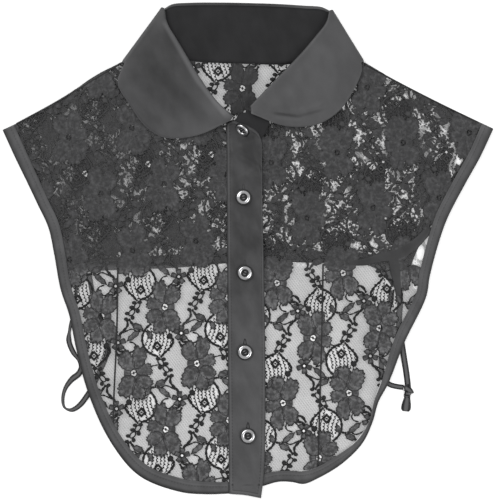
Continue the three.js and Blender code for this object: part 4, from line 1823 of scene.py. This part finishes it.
    def build(self, leaf_finish: Material, band_finish: Material) -> None:
        """Args:
            leaf_finish: The collar's satin.
            band_finish: The inside of the neck's satin.
        """
        stations = self.stations()
        fall = np.array([self.leaf_section(station) for station in stations])
        shell = self.shell(fall, self.leaf_wall, self.crease(fall))
        leaf = add_piece("collar_leaves", shell, leaf_finish)
        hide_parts("collar_fall")
        dress(leaf)
        ring = stations[self.band_start:-self.band_start]
        inner = np.array([self.band_section(station) for station in ring])
        shell = self.shell(inner, self.band_wall, np.zeros(inner.shape[:2]))
        band = add_piece("neck_stand", shell, band_finish)
        front = self._stand_end(band_finish)
        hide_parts("neck_band")
        dress(band)
        dress(front)

    def _stand_end(self, finish: Material) -> Piece:
        """The right end of the band, which shows beside the fastened front.

        Args:
            finish: Its satin.

        Returns:
            The piece.
        """
        grid = patch(*(soft_line(line, 24) for line in STAND_SIDES))
        x, y = grid[..., 0], grid[..., 1]
        low = LIE.front(x, y) + 1.05 + 0.8 * LIE.stand_end(x, y)
        top = low + 0.6 + 0.12 * np.sin(x * 0.5 + y * 0.3)
        shape = wall(np.dstack([grid, top]), np.dstack([grid, low]), grid * MM)
        return add_piece("stand_end", shape, finish)


# ---- the button bands ----

PLACKET_SIDE = ((-15.7, -198.5), (-16.3, -120), (-17.3, 0), (-17.9, 105))
PLACKET_FREE_EDGE = ((10.7, -202.1), (13.2, -181), (14.4, -122), (13.2, -20), (11.8, 50), (11.5, 89))
PLACKET_TOP = ((-17.9, 105), (-12.3, 107.4), (-6.6, 105), (1.6, 102), (8.2, 97.2), (11.5, 89))
PLACKET_HEM = ((-15.7, -198.5), (-2, -199.6), (10.7, -202.1))


@dataclass(frozen=True)
class ButtonPlace:
    """Where a button sits, how far it tips, and which way."""

    x: float
    y: float
    tilt: float = 0.0
    lean: float = 0.0
    spin: float = 0.0


BUTTONS = (
    ButtonPlace(-4.1, 99.6, 57, 38, 20),
    ButtonPlace(-3.7, 44.3, spin=12),
    ButtonPlace(-2.5, -17.6, spin=-20),
    ButtonPlace(-2.5, -82.4, spin=33),
    ButtonPlace(0, -150.9, spin=8),
)


@dataclass
class Plackets:
    """The upper button band with its buttonholes, and the band under it."""

    wall_mm: float = 1.15
    slit: float = 17.0
    slit_above: float = 2.4
    hem_seam_y: float = -191.1
    rows: int = 250
    columns: int = 30
    under_columns: int = 12
    under_left: float = -12.6
    under_right: float = 9.3
    under_bottom: float = -191.0
    under_top: float = 84.0

    def _band(self, grid: Array, floor: Height, wrinkle: bool) -> Shape:
        """A band of cloth over a height, with rounded edges and a ridge inside each.

        Args:
            grid: Plan points by row and column.
            floor: The height of its underside.
            wrinkle: Whether it is creased by its buttons.

        Returns:
            The band.
        """
        x, y = grid[..., 0], grid[..., 1]
        across, up = run_of(grid, axis=1), run_of(grid, axis=0)
        from_side = np.minimum(across, across[:, -1:] - across)
        inward = np.minimum(from_side, np.minimum(up, up[-1:] - up))
        full = rounded(inward, 0.8, 0.08)
        top = self.wall_mm * full + 0.42 * hump(inward - 1.4, 0.6) - 0.3 * hump(inward - 3.0, 0.5)
        if wrinkle:
            top = top + self._creases(x, y) * fade(from_side, 2.5, 6.0)
        upper = np.dstack([grid, floor(x, y) + top])
        lower = np.dstack([grid, floor(x, y) + 0.05 + 0.3 * (1.0 - full)])
        return wall(upper, lower, np.dstack([up, inward]) * MM)

    def _creases(self, x: Array, y: Array) -> Array:
        """Soft drags round the buttons and down the band.

        Args:
            x: Places on the plan.
            y: Places on the plan.

        Returns:
            The lift, in millimetres.
        """
        lift = 0.2 * np.sin(y * 0.045 + x * 0.1) + 0.14 * np.sin(y * 0.11 - x * 0.22) + 0.3
        for place in BUTTONS:
            down, over = y - place.y, x - place.x
            lift = lift + 0.55 * hump(over - 0.3 * down - 2.0, 2.2) * hump(down - 13.0, 8.0)
            lift = lift - 0.4 * hump(over + 3.0, 2.4) * hump(down - 15.0, 9.0)
            lift = lift + 0.4 * hump(over + 0.45 * down + 6.0, 2.0) * hump(down + 13.0, 8.0)
            lift = lift - 0.2 * hump(over, 5.0) * hump(down, 6.0)
        fold = 0.9 * hump(y - 74.0 + 0.62 * x, 2.2) - 0.5 * hump(y - 78.5 + 0.62 * x, 2.0)
        fold = fold + 0.7 * hump(y - 63.0 - 0.5 * x, 2.4)
        return lift + fold * fade(x, -15.0, -6.0) + 0.6 * hump(y - 88.0 - 0.5 * x, 2.0)

    def _seam(self, y: float) -> Shape:
        """The stitched line across the band's hem.

        Args:
            y: Where it is on the plan.

        Returns:
            The line of thread.
        """
        x = np.linspace(-14.4, 11.0, 24)
        line = laid(np.column_stack([x, np.full(len(x), y)]), LIE.placket, self.wall_mm - 0.04)
        section = ((-0.35, 0.0, 0.0), (0.0, 0.16, 0.5), (0.35, 0.0, 1.0))
        shape = swept(line, level_across(line), section)
        shape.surface[:, 0] = 1.0
        return shape

    def _buttonhole(self, place: ButtonPlace) -> list[Shape]:
        """The worked slit that a button comes through.

        Args:
            place: The button's place.

        Returns:
            Its cord and its fill.
        """
        work = ThreadWork()
        x, y, reach = place.x, place.y + self.slit_above, self.slit / 2.0
        work.ring(Oval(x, y, 1.25, reach), 1.0, 30)
        corners = ((x - 0.5, y - reach), (x + 0.5, y - reach), (x + 0.5, y + reach), (x - 0.5, y + reach))
        work.filled(np.array(corners), (x, y), lift=0.3)
        placed = []
        for shape in work.shapes:
            plan = shape.points[:, :2]
            above = self.wall_mm + self._creases(*plan.T) - 0.1 + shape.points[:, 2] * 0.6
            surface = np.column_stack([np.ones(len(plan)), shape.surface[:, 1]])
            placed.append(Shape(laid(plan, LIE.placket, above), shape.faces, surface))
        return placed

    def build(self, finish: Material, thread: Material) -> None:
        """Args:
            finish: Their satin.
            thread: The finish of what is worked on them.
        """
        side, free = (soft_line(line, self.rows) for line in (PLACKET_SIDE, PLACKET_FREE_EDGE))
        hem, head = (soft_line(line, self.columns) for line in (PLACKET_HEM, PLACKET_TOP))
        shape = self._band(patch(side, free, hem, head), LIE.placket, True)
        upper = add_piece("button_band", shape, finish)
        worked = [shape for place in BUTTONS[1:] for shape in self._buttonhole(place)]
        work = add_piece("buttonholes", joined([*worked, self._seam(self.hem_seam_y)]), thread)
        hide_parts("placket_top")
        dress(upper)
        dress(work)
        left, right = (np.linspace((x, self.under_bottom), (x, self.under_top), self.rows + 1)
                       for x in (self.under_left, self.under_right))
        hem, head = (np.linspace(left[k], right[k], self.under_columns + 1) for k in (0, -1))
        shape = self._band(patch(left, right, hem, head), LIE.front, False)
        lower = add_piece("button_under_band", shape, finish)
        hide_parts("placket_under")
        dress(lower)


# ---- buttons ----


def select_faces(piece: Piece, wanted: Callable[[Vector, Vector], bool]) -> None:
    """Selects a mesh's faces in edit mode.

    Args:
        piece: The object, in edit mode.
        wanted: Tells from a face's centre and normal whether it is taken.
    """
    mesh = bmesh.from_edit_mesh(piece.data)
    bpy.ops.mesh.select_all(action="DESELECT")
    for face in mesh.faces:
        face.select = wanted(face.calc_center_median(), face.normal)
    mesh.select_flush(True)
    bmesh.update_edit_mesh(piece.data)


@dataclass
class Button:
    """A four-hole button: a dark disc in a polished metal ring, sewn with thread."""

    radius: float = 6.5
    ring_radius: float = 4.3
    ring_section: float = 1.3
    base_height: float = 1.0
    hole_radius: float = 0.62
    hole_spacing: float = 1.05
    smooth_angle: float = 40.0
    rim_wide: float = 0.5
    rim_high: float = 0.25
    face_wide: float = 2.3
    wall_wide: float = 0.5
    sunk: float = 0.45
    edge_bevel: float = 0.14
    ring_height: float = 1.35
    ring_flatness: float = 0.78
    thread_radius: float = 0.21
    thread_shift: float = 0.16
    thread_height: float = 0.42
    band_top: float = 1.2

    def _take(self, name: str, material: Material) -> Piece:
        """Names the piece just made and gives it its finish.

        Args:
            name: Its name.
            material: Its finish.

        Returns:
            The piece.
        """
        piece = bpy.context.object
        piece.name = piece.data.name = name
        piece.data.materials.clear()
        piece.data.materials.append(material)
        return piece

    def base(self, material: Material) -> Piece:
        """The disc, with a raised rim, a sunk middle and four holes.

        Args:
            material: Its finish.

        Returns:
            The piece.
        """
        deselect()
        bpy.ops.mesh.primitive_cylinder_add(vertices=48, radius=self.radius * MM,
                                            depth=self.base_height * MM,
                                            location=(0.0, 0.0, self.base_height * MM / 2.0))
        piece = self._take("button_base", material)
        bpy.ops.object.mode_set(mode="EDIT")
        bpy.ops.mesh.select_mode(type="FACE")
        select_faces(piece, lambda centre, normal: normal.z > 0.9)
        for wide, rise in ((self.rim_wide, self.rim_high), (self.face_wide, 0.0),
                           (self.wall_wide, -self.sunk)):
            bpy.ops.mesh.inset(thickness=wide * MM, depth=rise * MM)
        bpy.ops.mesh.select_all(action="SELECT")
        bpy.ops.mesh.normals_make_consistent(inside=False)
        bpy.ops.object.mode_set(mode="OBJECT")
        modify(piece, "BEVEL", width=self.edge_bevel * MM, segments=2, limit_method="ANGLE")
        for x, y in ((1, 1), (-1, 1), (-1, -1), (1, -1)):
            self._bore(piece, x * self.hole_spacing * MM, y * self.hole_spacing * MM)
        return piece

    def _bore(self, piece: Piece, x: float, y: float) -> None:
        """Bores a hole.

        Args:
            piece: The disc.
            x: The hole's place, in metres.
            y: Its place, in metres.
        """
        deselect()
        bpy.ops.mesh.primitive_cylinder_add(vertices=16, radius=self.hole_radius * MM,
                                            depth=4.0 * self.base_height * MM,
                                            location=(x, y, self.base_height * MM / 2.0))
        drill = bpy.context.object
        modify(piece, "BOOLEAN", operation="DIFFERENCE", solver="EXACT", object=drill)
        bpy.data.objects.remove(drill, do_unlink=True)

    def ring(self, material: Material) -> Piece:
        """The metal ring, domed above and flattened.

        Args:
            material: Its finish.

        Returns:
            The piece.
        """
        middle = (0.0, 0.0, self.ring_height * MM)
        deselect()
        bpy.ops.mesh.primitive_torus_add(major_radius=self.ring_radius * MM,
                                         minor_radius=self.ring_section * MM, major_segments=64,
                                         minor_segments=20, location=middle)
        piece = self._take("button_ring", material)
        bpy.ops.object.mode_set(mode="EDIT")
        bpy.ops.mesh.select_all(action="SELECT")
        bpy.ops.transform.resize(value=(1.0, 1.0, self.ring_flatness), center_override=middle)
        bpy.ops.object.mode_set(mode="OBJECT")
        bpy.ops.object.transform_apply(location=True, rotation=True, scale=True)
        return piece

    def stitches(self, material: Material) -> Piece:
        """Thread through the holes, in two bars of two strands.

        Args:
            material: Its finish.

        Returns:
            The piece.
        """
        strands = []
        for side in (-self.hole_spacing, self.hole_spacing):
            for shift in (-self.thread_shift, self.thread_shift):
                deselect()
                bpy.ops.mesh.primitive_torus_add(
                    major_radius=self.hole_spacing * MM, minor_radius=self.thread_radius * MM,
                    major_segments=28, minor_segments=8, rotation=(math.pi / 2.0, 0.0, 0.0),
                    location=(0.0, (side + shift) * MM, self.thread_height * MM))
                strands.append(self._take("button_stitch", material))
        return merge(strands)

    def model(self, dark: Material, metal: Material,
              thread: Material) -> Piece:
        """One whole button at the origin, facing up.

        Args:
            dark: The disc's finish.
            metal: The ring's finish.
            thread: The stitches' finish.

        Returns:
            The button.
        """
        whole = merge([self.base(dark), self.ring(metal), self.stitches(thread)])
        bpy.ops.object.shade_smooth_by_angle(angle=math.radians(self.smooth_angle))
        return whole

    def sew_on(self, master: Piece, number: int, place: ButtonPlace) -> None:
        """Copies the button to its place on the band.

        Args:
            master: The whole button at the origin.
            number: Its number from the neck.
            place: Its place and tilt.
        """
        node = f"button_{number}"
        low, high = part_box(node)
        middle = (low + high) / 2.0
        tilt, lean = math.radians(place.tilt), math.radians(-place.lean)
        rise = self.radius * math.sin(tilt) * 0.65
        foot = LIE.placket(place.x, place.y) + self.band_top + SEAM_GAP + rise
        spot = Vector((middle.x, middle.y, float(foot) * MM))
        if place.tilt:
            spot = Vector(in_frame(np.array([place.x, place.y, float(foot)])))
        turn = Matrix.Rotation(tilt, 4, Vector((math.cos(lean), math.sin(lean), 0.0)))
        spin = Matrix.Rotation(math.radians(place.spin), 4, "Z")
        piece = new_object(f"{node}_sewn", master.data.copy())
        piece.data.transform(Matrix.Translation(spot) @ turn @ spin)
        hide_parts(node)
        dress(piece)


# ---- ribbons ----

TIE_LEFT = (
    (-130.5, -17.8), (-127, -36), (-121.5, -53), (-116.4, -66), (-114.6, -77), (-116.5, -86.5),
    (-120.5, -96), (-125.5, -107), (-131.5, -117.5), (-138.4, -126.4), (-145, -130), (-150.3, -128),
    (-151.8, -121.6), (-149.9, -112.6), (-144.6, -105), (-138.8, -100.2), (-136.6, -95),
    (-138.6, -89.3), (-143.6, -82), (-146.8, -73.4), (-146.4, -65.2), (-144, -54.5),
    (-141.8, -42.2), (-140.4, -26.6),
)
TIE_RIGHT_OUTER = (
    (124.6, -33.4), (124.6, -44), (123.8, -54.5), (124.2, -64.4), (126.3, -76.7), (127.9, -87.3),
    (129.6, -98), (131, -109.5),
)
TIE_RIGHT_TAIL = ((131.2, -114.4), (130.6, -119.2), (129.9, -125), (129.2, -131))
TIE_RIGHT_INNER = (
    (117.6, -31.8), (117.2, -41.4), (113.6, -51.3), (110.5, -64.4), (109.7, -76.7), (109.2, -87.3),
    (109.6, -97), (111.6, -104.6), (116.2, -109), (121.5, -110.6), (127.4, -111.4),
)

LEFT_WIDTHS = (  # share of the length, width
    (0, 4.3), (0.4, 4.3), (0.47, 4.6), (0.51, 3.8), (0.535, 1.7), (0.565, 2.6), (0.60, 3),
    (0.66, 5.2), (0.70, 4.6), (0.73, 2.6), (0.76, 4.2), (0.81, 4.4), (0.835, 2.2), (0.86, 3), (1, 2.4),
)


OUTER_WIDTHS = (
    (0, 5), (0.78, 5), (0.88, 4.8), (0.94, 7.6), (0.975, 8.1), (0.992, 7.2), (1, 5.4),
)


class FarEnd(Enum):
    """What is at the far end of a tie."""

    OBJECT = "object"
    BARE = "bare"
    KNOT = "knot"


@dataclass
class Tie:
    """A narrow ribbon that lies on the surface."""

    name: str
    route: tuple[Row, ...]
    far_end: FarEnd
    nodes: tuple[str, ...]
    widths: tuple[Row, ...] = ((0.0, 4.3), (1.0, 4.3))
    wall_mm: float = 0.5
    low: float = 0.12
    curl: float = 0.12

    def build(self, finish: Material, with_pieces: Sequence[Piece] = ()) -> None:
        """Args:
            finish: Its ribbon.
            with_pieces: What is on it; not used.
        """
        plan = soft_line(self.route, max(40, int(line_length(np.array(self.route)) / 1.6)))
        line = np.column_stack([plan, np.full(len(plan), self.low)])
        wide = np.interp(np.linspace(0.0, 1.0, len(plan)), *np.array(self.widths).T)
        top, hollow = self.wall_mm + self.curl, self.wall_mm + self.curl * 0.4
        section = ((-0.5, 0.1, 0.0), (-0.46, self.wall_mm, 0.05), (-0.3, top, 0.2), (0.0, hollow, 0.5),
                   (0.3, top, 0.8), (0.46, self.wall_mm, 0.95), (0.5, 0.1, 1.0), (0.3, 0.0, 0.8),
                   (-0.3, 0.0, 0.2))
        piece = add_piece(self.name, swept(line, level_across(line) * wide[:, None], section), finish)
        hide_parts(*self.nodes)
        dress(piece)


WRAP_SECTION = (  # share across, height, surface across
    (-0.5, -0.1, 0), (-0.46, 0.22, 0.05), (-0.25, 0.4, 0.25), (0, 0.46, 0.5),
    (0.25, 0.4, 0.75), (0.46, 0.22, 0.95), (0.5, -0.1, 1), (0, -0.3, 0.5),
)
WRAPS = (  # width, then the line
    (5.2, ((-3, 2.6, 0.6), (-2, 2.4, 2), (0, 1.4, 2.6), (1.6, -0.4, 2.1), (2.4, -2.4, 0.8))),
    (5, ((-1.8, 5, 0.6), (-1.2, 3.4, 1.6), (-0.4, 0.6, 2.1), (-0.6, -2.4, 1.9), (-1.2, -5.2, 0.7))),
    (4.2, ((-3, -1.4, 0.6), (-1.6, -1.8, 1.7), (0.8, -2, 2.3), (1.8, -2.4, 1.6), (2.4, -2.8, 0.7))),
)


@dataclass
class Knot:
    """The knot where the two right ties meet: ribbon wrapped over itself."""

    x: float = 131.2
    y: float = -114.4

    def _wrap(self, wide: float, rows: Sequence[Row]) -> Shape:
        """One pass of ribbon over the knot, through points of x, y and z from its middle."""
        line = soft_line(rows, 22) + (self.x, self.y, 0.0)
        return swept(line, level_across(line) * wide, WRAP_SECTION)

    def build(self, finish: Material) -> Piece:
        """Makes the knot.

        Args:
            finish: Its ribbon.

        Returns:
            The piece.
        """
        piece = add_piece("tie_knot", joined([self._wrap(wide, rows) for wide, rows in WRAPS]), finish)
        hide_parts("knot_right")
        dress(piece)
        return piece


# ---- studio ----

@dataclass
class Studio:
    """A pale table under soft light, seen from straight above."""

    lens: float = 135.0
    sensor: float = 36.0
    field_mm: float = 410.0
    centre: Pair = (-0.41, 0.21)
    sky: float = 0.5

    def build(self) -> None:
        """Adds the table, the lights and the world."""
        deselect()
        bpy.ops.mesh.primitive_plane_add(size=6.0, location=(0.0, 0.0, 0.0))
        floor = bpy.context.object
        floor.name = "table"
        floor.location.z = -0.0002
        floor.data.materials.append(TableFinish().build())
        world = bpy.data.worlds.new("studio")
        world.use_nodes = True
        sky = world.node_tree.nodes["Background"].inputs
        sky["Color"].default_value = (1.0, 1.0, 1.0, 1.0)
        sky["Strength"].default_value = self.sky
        bpy.context.scene.world = world
        self._light("window", (-1.4, 1.2, 1.4), 1.5, 36.0)
        self._light("far window", (1.3, -0.6, 1.2), 1.2, 17.0)
        bpy.context.scene.view_settings.view_transform = "Standard"

    def _light(self, name: str, place: Row, size: float, power: float) -> None:
        """Adds a soft square light aimed at the garment.

        Args:
            name: Its name.
            place: Where it is, in metres.
            size: Its side, in metres.
            power: Its strength.
        """
        data = bpy.data.lights.new(name, "AREA")
        data.size = size
        data.energy = power
        lamp = new_object(name, data)
        lamp.location = place
        lamp.rotation_euler = (-Vector(place)).to_track_quat("-Z", "Y").to_euler()

    def camera(self) -> None:
        """Adds the camera."""
        data = bpy.data.cameras.new("camera")
        data.lens = self.lens
        data.sensor_width = self.sensor
        eye = new_object("camera", data)
        distance = self.field_mm * self.lens / self.sensor
        eye.location = (self.centre[0] * MM, self.centre[1] * MM, distance * MM)
        bpy.context.scene.camera = eye


# ---- the garment ----

ARMHOLE_GAPS = (
    Oval(172.8, 75.5, 1.9, 4.6), Oval(166.4, 62, 1.7, 5), Oval(146.9, 9.5, 2.3, 4.6),
    Oval(141.2, -0.6, 3.2, 6.6), Oval(129.9, -12.4, 2.1, 3.2), Oval(137.4, -27.5, 2.2, 3.2),
)
LEFT_SEAMS = (
    ((-106.6, -13.5), (-107.4, -64), (-109.9, -121.8), (-110.4, -150)),
    ((-189.6, 104.5), (-160, 120.6), (-130, 138.4), (-104, 154)),
)
RIGHT_SEAMS = (
    ((61.5, -10.3), (60.7, -56.2), (59, -121.8), (57.4, -176)),
    ((189, 105.4), (160, 119.4), (126, 136.6), (97, 152)),
)
BACK_CORNER = (  # x, y, width
    ((82, -9.5, 4), (96, -8.2, 6.5), (108.2, -5, 8.2), (122, -2.4, 10.5), (133.7, 3.9, 9),
     (141, 10.3, 7.4), (149, 18.6, 6)),
    ((118.5, -2, 9), (120.6, -14, 9.5), (122.4, -26, 7), (123.4, -36, 4.6)),
)
# The fronts' net is painted darker where it lies over the back panel, as shade.
FRONT_NET = {"eyelets_below": (-14, -9), "knot_and_lined_shade_colour": (0.075, 0.075, 0.076)}
PANELS = (
    LacePanel("back_yoke", LaceRepeat((-4.6, 133.5)), LIE.yoke, (0.385, 0.193), 0.052, ("collar_leaves",),
              gaps=ARMHOLE_GAPS, fuller=LaceRepeat((21, 114)),
              net_settings={"tangle": 0.8, "plain": NECK_OPENING}),
    LacePanel("front_left", LaceRepeat((-68.1, -45.5)), LIE.front, (0.177, 0.357), 0.041,
              ("back_yoke_net",), seams=LEFT_SEAMS, net_settings=FRONT_NET),
    LacePanel("front_right", LaceRepeat((53.3, -70.9), (54.1, 8.2), (29.5, -45.1), turned=True),
              LIE.front, (0.183, 0.348), 0.040, ("back_yoke_net",), seams=RIGHT_SEAMS,
              bands=BACK_CORNER, gaps=ARMHOLE_GAPS, net_settings=FRONT_NET),
)
BACK_BINDINGS = (
    Binding("back_binding_left", Edge(BACK_EDGE_LEFT, 1), LIE.yoke, 1.2, ("back_yoke_net",)),
    Binding("back_binding_right", Edge(BACK_EDGE_RIGHT, -1), LIE.yoke, 1.2, ("back_yoke_net",)),
    Binding("back_hem_binding", Edge(BACK_HEM, 1), LIE.yoke, 1.2, ("back_yoke_net",)),
)
FRONT_BINDINGS = (
    Binding("binding_left", Edge(FRONT_EDGE_LEFT, 1, 300), LIE.front, 1.5, ("front_left_net",)),
    Binding("binding_right", Edge(FRONT_EDGE_RIGHT, -1, 300), LIE.front, 1.5, ("front_right_net",)),
)
LEFT_TIE = Tie("left_tie", TIE_LEFT, FarEnd.OBJECT, ("tie_left",), widths=LEFT_WIDTHS)
OUTER_TIE = Tie("right_tie", TIE_RIGHT_OUTER + TIE_RIGHT_TAIL, FarEnd.BARE,
                ("tie_right_outer", "tie_right_tail"), widths=OUTER_WIDTHS)
INNER_TIE = Tie("right_inner_tie", TIE_RIGHT_INNER, FarEnd.KNOT, ("tie_right_inner",))

SEAM_SATIN = SatinFinish("seam satin", colour=(0.012, 0.012, 0.0125), painted_edge_light=1)
FACING_SATIN = SatinFinish("corner facing", colour=(0.03, 0.03, 0.031), painted_crease_shading=0.5, painted_edge_light=0.8,
                           edge_mm=1.3)
# A darker copy of the bias satin: painted shade where the back bindings lie under the front lace.
BACK_BIAS_SATIN = SatinFinish("back bias satin", colour=(0.034, 0.034, 0.035), ridge_mm=(5.8,),
                              stitch_mm=(7,), painted_crease_shading=0.5, painted_edge_light=0.6, edge_mm=1.3)
# Its outer edge is painted darker, as a shaded outline.
FRONT_BIAS_SATIN = SatinFinish("bias satin", colour=(0.070, 0.070, 0.072), ridge_mm=(6.6,),
                               stitch_mm=(5.3,), stitch_share=0.3, ridge_highlight_share=0.16, painted_crease_shading=0.4,
                               painted_edge_light=0.1, edge_mm=3.2, painted_edge_share=0.95)
# Painted light and shade on the collar: a shaded middle of the left leaf and of the back roll, highlights
# along the left roll and the lower left leaf, and shade and light along the right leaf's crease.
COLLAR_SATIN = SatinFinish(
    "collar satin", colour=(0.064, 0.064, 0.066), sheen=0.03, painted_crease_shading=0.22,
    painted_shades=((Oval(-68, 148, 38, 56), 1.25), (Oval(0, 206, 70, 7), 1.8)),
    painted_streaks=(
        PaintedStreak((-17.5, 111), (-41, 140), 4, 1.9), PaintedStreak((-41, 140), (-67.5, 187), 4, 2.1),
        PaintedStreak((-34, 106), (-78, 152), 9, -0.35), PaintedStreak((-60, 101), (-98, 138), 7, 0.4),
        PaintedStreak((23, 112.7), (41, 110.5), 1.9, -0.9), PaintedStreak((41, 110.5), (60, 115.5), 1.9, -0.7),
        PaintedStreak((21, 109.5), (44, 107.6), 2.4, 0.35), PaintedStreak((30, 128), (60, 168), 7, 0.3),
    ))
# Darker than the collar satin: partly the matte back of the satin, partly painted shade inside the neck.
NECK_SATIN = SatinFinish("neck satin", colour=(0.021, 0.021, 0.022), roughness=0.7, sheen=0, gloss=0.15,
                         painted_edge_light=1)
# The button band is painted darker towards its top and lighter down its lower middle: painted shade and
# highlight.
BAND_SATIN = SatinFinish(
    "band satin", colour=(0.064, 0.064, 0.066), ridge_mm=(2.1,), stitch_mm=(3.3,), ridge_highlight_share=0.28,
    painted_crease_shading=0.42, painted_edge_light=0.4, edge_mm=1.3, painted_shades=((Oval(0, 78, 160, 190), 1.1),),
    painted_streaks=(PaintedStreak((-2, -36), (-2, -108), 24, 0.55),))
BUTTON_DARK = PlainFinish("button dark", (0.006, 0.006, 0.0065), 0.42)
BUTTON_THREAD = PlainFinish("button thread", (0.16, 0.16, 0.165), 0.8)


def main() -> None:
    """Builds the garment piece by piece."""
    logging.basicConfig(level=logging.INFO, format="%(name)s: %(message)s")
    studio = Studio()
    studio.camera()
    ribbon = RibbonFinish().build()
    knot = Knot().build(ribbon)
    LEFT_TIE.build(ribbon)
    OUTER_TIE.build(ribbon, [knot])
    INNER_TIE.build(ribbon)
    thread, work = ThreadFinish().build(), lace_repeat()
    seam_satin, facing = SEAM_SATIN.build(), FACING_SATIN.build()
    for panel in PANELS:
        panel.build(work, thread, seam_satin, facing)
    for bindings, finish in ((BACK_BINDINGS, BACK_BIAS_SATIN), (FRONT_BINDINGS, FRONT_BIAS_SATIN)):
        satin = finish.build()
        for binding in bindings:
            binding.build(satin)
    Collar().build(COLLAR_SATIN.build(), NECK_SATIN.build())
    Plackets().build(BAND_SATIN.build(), thread)
    button = Button()
    master = button.model(BUTTON_DARK.build(), MetalFinish().build(), BUTTON_THREAD.build())
    for number, place in enumerate(BUTTONS, start=1):
        button.sew_on(master, number, place)
    bpy.data.objects.remove(master, do_unlink=True)
    studio.build()


if __name__ == "__main__":
    main()
